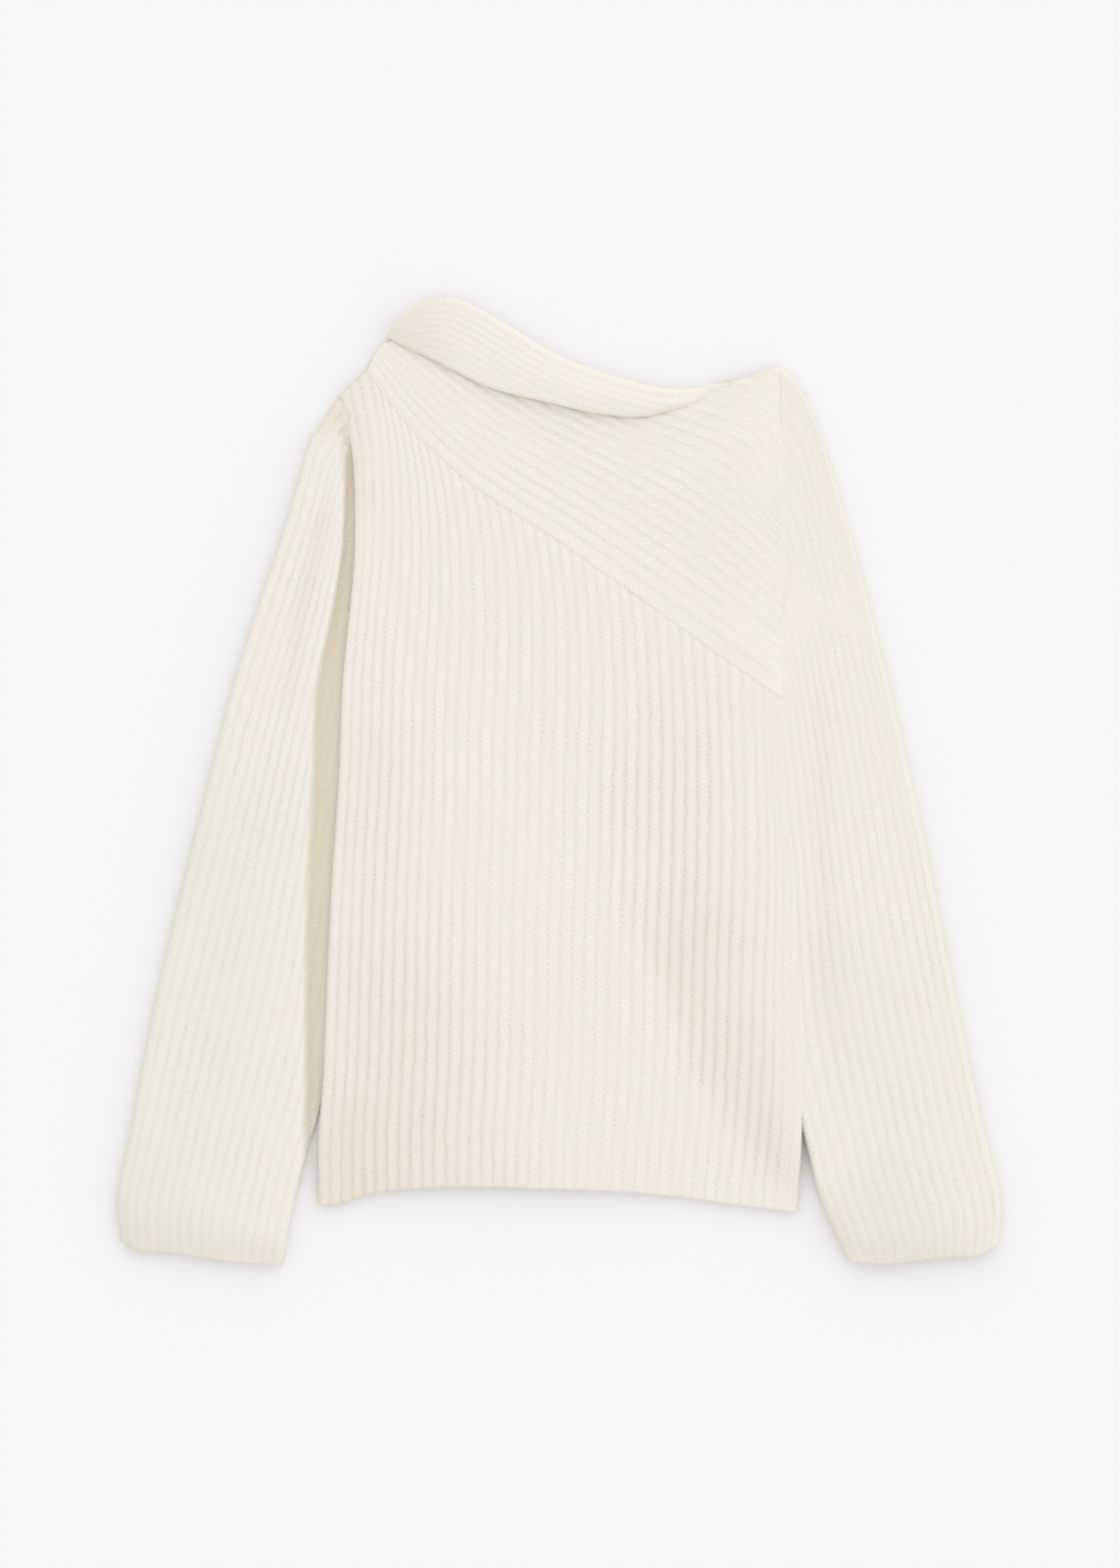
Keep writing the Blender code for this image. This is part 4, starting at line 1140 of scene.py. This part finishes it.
def sleeve(name, form, knit, layers):
    """A sleeve pressed flat, open at the cuff and at the armhole."""
    shape = SleeveShape(form, layers)
    along = odd_count(steps_along(SLEEVE_SIZE[1], knit.course))
    ribbed = np.r_[SLEEVE_TURN, np.linspace(0, 1, SLEEVE_RIBS * knit.rib_samples + 1)[4:]]
    plain = np.r_[SLEEVE_TURN, np.linspace(0, 1, 2 * SLEEVE_RIBS + 1)[1:]]
    upper, lie, area = shape.upper(ribbed, along, knit)
    lower = shape.lower(plain, along)
    outside = np.concatenate((upper, lower), axis=1)
    lie = np.concatenate((lie, np.broadcast_to(PLAIN_SHADE_PAINT, lower.shape)), axis=1)

    # Ribs are counted on around the tube, and once more at the fold, where the ring closes
    turns = np.r_[ribbed, 2 - plain[:0:-1], 2] * SLEEVE_RIBS
    units = knit_units(outside, turns[:-1], knit.course)
    closing = np.dstack((np.full((len(along), 1), turns[-1]), units[:, :1, 1]))
    units = np.concatenate((units, closing), axis=1)

    hollow = shape.hollow(along[::2])
    around = HOLLOW_ACROSS[1:-1]
    hollow_turns = np.r_[0, around, 1, 2 - around[::-1], 2] * SLEEVE_RIBS
    cloth = Knitting()
    outer = cloth.grid(outside, units, lie)
    inner = cloth.grid(hollow, np.zeros((len(hollow), hollow.shape[1] + 1, 2)), PLAIN_SHADE_PAINT)
    for row in (0, -1):
        cloth.close(outer[row], inner[row], turns, hollow_turns, units[row])
    wool = lambswool_rib("Lambswool rib, " + name, knit.sleeve_wool, knit)
    return cloth.build(name, wool), 2 * area


def knit_sleeves(knit, layers):
    """Both sleeves, which lie beside the body with their inner edges under it."""
    right = SleeveForm(side=-1, outlines=(RIGHT_CUFF, RIGHT_SLEEVE_HEAD, RIGHT_OUTER, RIGHT_INNER),
                       body_edge=BODY_LEFT, valley=RIGHT_VALLEY, armhole=RIGHT_ARMHOLE_ENDS,
                       creases=RIGHT_SLEEVE_CREASES, opened=RIGHT_SLEEVE_OPEN,
                       sunk=RIGHT_SLEEVE_PAINTED_SHADE, grey_shade=RIGHT_SLEEVE_GREY_SHADE, hollow=0.75)
    left = SleeveForm(side=1, outlines=(LEFT_CUFF, LEFT_SLEEVE_HEAD, LEFT_OUTER, LEFT_INNER),
                      body_edge=BODY_RIGHT + RIGHT_SHOULDER, valley=LEFT_VALLEY,
                      armhole=LEFT_ARMHOLE_ENDS, creases=LEFT_SLEEVE_CREASES,
                      opened=LEFT_SLEEVE_OPEN, sunk=LEFT_SLEEVE_PAINTED_SHADE, grey_shade=LEFT_SLEEVE_GREY_SHADE, hollow=0.0)
    for node, form in (("right_sleeve", right), ("left_sleeve", left)):
        piece, area = sleeve(node + "_knit", form, knit, layers)
        declare(piece, node)


# Studio

def paper(hex_colour):
    """Matt background paper, rolled smooth: an even pale ground with a faint tooth."""
    material = bpy.data.materials.new("Background paper")
    material.use_nodes = True
    tree = material.node_tree
    shader = tree.nodes["Principled BSDF"]
    shader.inputs["Base Color"].default_value = linear(hex_colour)
    shader.inputs["Roughness"].default_value = 0.95
    shader.inputs["Specular IOR Level"].default_value = 0.1
    place = add(tree, "ShaderNodeTexCoord", {})
    tooth = add(tree, "ShaderNodeTexNoise", {0: place.outputs["Object"], "Scale": apart(1.111),
                                             "Detail": 2.0})
    bump = add(tree, "ShaderNodeBump", {"Height": tooth.outputs[0], "Distance": 0.00003})
    tree.links.new(bump.outputs[0], shader.inputs["Normal"])
    return material


# Half the ground's size and how far it lies under the sweater, in metres, the side from which the
# tent is brighter, and the angles of the key light in degrees: its softness, tilt and turn
GROUND_HALF = 4.0
GROUND_DROP = 0.0002
BRIGHT_SIDE = (0.48, 0.88, 0)
KEY_SOFTNESS = 50
KEY_TILT = -42
KEY_TURN = -30
SENSOR_HEIGHT = 36.0


def build_studio(studio):
    """The ground, a light tent that is brighter beyond the neck, a weak soft key and the camera."""
    mesh = bpy.data.meshes.new("ground")
    corners = [(x * GROUND_HALF, y * GROUND_HALF, 0) for x, y in ((-1, -1), (1, -1), (1, 1), (-1, 1))]
    mesh.from_pydata(corners, [], [(0, 1, 2, 3)])
    mesh.materials.append(paper(studio.ground))
    ground = bpy.data.objects.new("ground", mesh)
    ground.location.z = -GROUND_DROP
    bpy.context.scene.collection.objects.link(ground)

    world = bpy.data.worlds.new("Light tent")
    world.use_nodes = True
    tree = world.node_tree
    background = tree.nodes["Background"]
    background.inputs["Color"].default_value = (1, 1, 1, 1)
    towards = add(tree, "ShaderNodeTexCoord", {})
    share = add(tree, "ShaderNodeVectorMath", {0: towards.outputs["Generated"], 1: BRIGHT_SIDE},
                operation="DOT_PRODUCT")
    strength = add(tree, "ShaderNodeMath", {0: share.outputs["Value"], 1: studio.sky * studio.slope,
                                            2: studio.sky}, operation="MULTIPLY_ADD")
    tree.links.new(strength.outputs[0], background.inputs["Strength"])
    bpy.context.scene.world = world

    lamp = bpy.data.lights.new("Key", "SUN")
    lamp.energy = studio.key
    lamp.angle = np.radians(KEY_SOFTNESS)
    key = bpy.data.objects.new("Key", lamp)
    key.rotation_euler = (np.radians(KEY_TILT), 0, np.radians(KEY_TURN))
    bpy.context.scene.collection.objects.link(key)

    # The camera looks straight down on the middle of the frame
    lens = bpy.data.cameras.new("Camera")
    lens.sensor_fit = "VERTICAL"
    lens.sensor_height = SENSOR_HEIGHT
    lens.lens = SENSOR_HEIGHT * studio.height / (FRAME[1] * studio.pixel)
    lens.clip_end = 50.0
    camera = bpy.data.objects.new("Camera", lens)
    camera.location = ((FRAME[0] / 2 - ORIGIN_PIXEL[0]) * studio.pixel,
                       (ORIGIN_PIXEL[1] - FRAME[1] / 2) * studio.pixel, studio.height)
    bpy.context.scene.collection.objects.link(camera)
    bpy.context.scene.camera = camera
    bpy.context.scene.view_settings.view_transform = "Standard"
    bpy.context.scene.view_settings.look = "None"


# Operators and panel

class SWEATER_OT_back(Operator):
    """Knit the back and the back half of the collar"""
    bl_idname = "sweater.back"
    bl_label = "Back"

    def execute(self, context):
        knit_back(context.scene.sweater_knit, context.scene.sweater_layers)
        return {"FINISHED"}


class SWEATER_OT_front(Operator):
    """Knit the front below the diagonal seam"""
    bl_idname = "sweater.front"
    bl_label = "Front"

    def execute(self, context):
        knit_front(context.scene.sweater_knit, context.scene.sweater_layers)
        return {"FINISHED"}


class SWEATER_OT_yoke(Operator):
    """Knit the yoke above the diagonal seam"""
    bl_idname = "sweater.yoke"
    bl_label = "Yoke"

    def execute(self, context):
        knit_yoke(context.scene.sweater_knit, context.scene.sweater_layers)
        return {"FINISHED"}


class SWEATER_OT_collar(Operator):
    """Knit the folded collar"""
    bl_idname = "sweater.collar"
    bl_label = "Collar"

    def execute(self, context):
        knit_collar(context.scene.sweater_knit, context.scene.sweater_layers)
        return {"FINISHED"}


class SWEATER_OT_sleeves(Operator):
    """Knit both sleeves"""
    bl_idname = "sweater.sleeves"
    bl_label = "Sleeves"

    def execute(self, context):
        knit_sleeves(context.scene.sweater_knit, context.scene.sweater_layers)
        return {"FINISHED"}


class SWEATER_OT_studio(Operator):
    """Set the ground, the light and the camera"""
    bl_idname = "sweater.studio"
    bl_label = "Studio"

    def execute(self, context):
        build_studio(context.scene.sweater_studio)
        return {"FINISHED"}


class SWEATER_PT_panel(Panel):
    """Sizes, colours and steps of the sweater"""
    bl_idname = "SWEATER_PT_panel"
    bl_label = "Ribbed sweater"
    bl_space_type = "VIEW_3D"
    bl_region_type = "UI"
    bl_category = "Sweater"

    def draw(self, context):
        scene = context.scene
        for group in (scene.sweater_knit, scene.sweater_layers, scene.sweater_studio):
            box = self.layout.box()
            for name in group.__annotations__:
                box.prop(group, name)
        for step in STEPS:
            self.layout.operator(step.bl_idname)


GROUPS = {"sweater_knit": SweaterKnit, "sweater_layers": SweaterLayers, "sweater_studio": SweaterStudio}
STEPS = (SWEATER_OT_back, SWEATER_OT_sleeves, SWEATER_OT_front, SWEATER_OT_yoke, SWEATER_OT_collar,
         SWEATER_OT_studio)


def register():
    """Add the property groups, the steps and the panel to Blender."""
    for name, group in GROUPS.items():
        bpy.utils.register_class(group)
        setattr(bpy.types.Scene, name, PointerProperty(type=group))
    for step in STEPS + (SWEATER_PT_panel,):
        bpy.utils.register_class(step)


def unregister():
    """Take them out again."""
    for step in reversed(STEPS + (SWEATER_PT_panel,)):
        bpy.utils.unregister_class(step)
    for name, group in reversed(GROUPS.items()):
        delattr(bpy.types.Scene, name)
        bpy.utils.unregister_class(group)


def main():
    """Run every step."""
    register()
    bpy.ops.sweater.back()
    bpy.ops.sweater.sleeves()
    bpy.ops.sweater.front()
    bpy.ops.sweater.yoke()
    bpy.ops.sweater.collar()
    bpy.ops.sweater.studio()


if __name__ == "__main__":
    main()
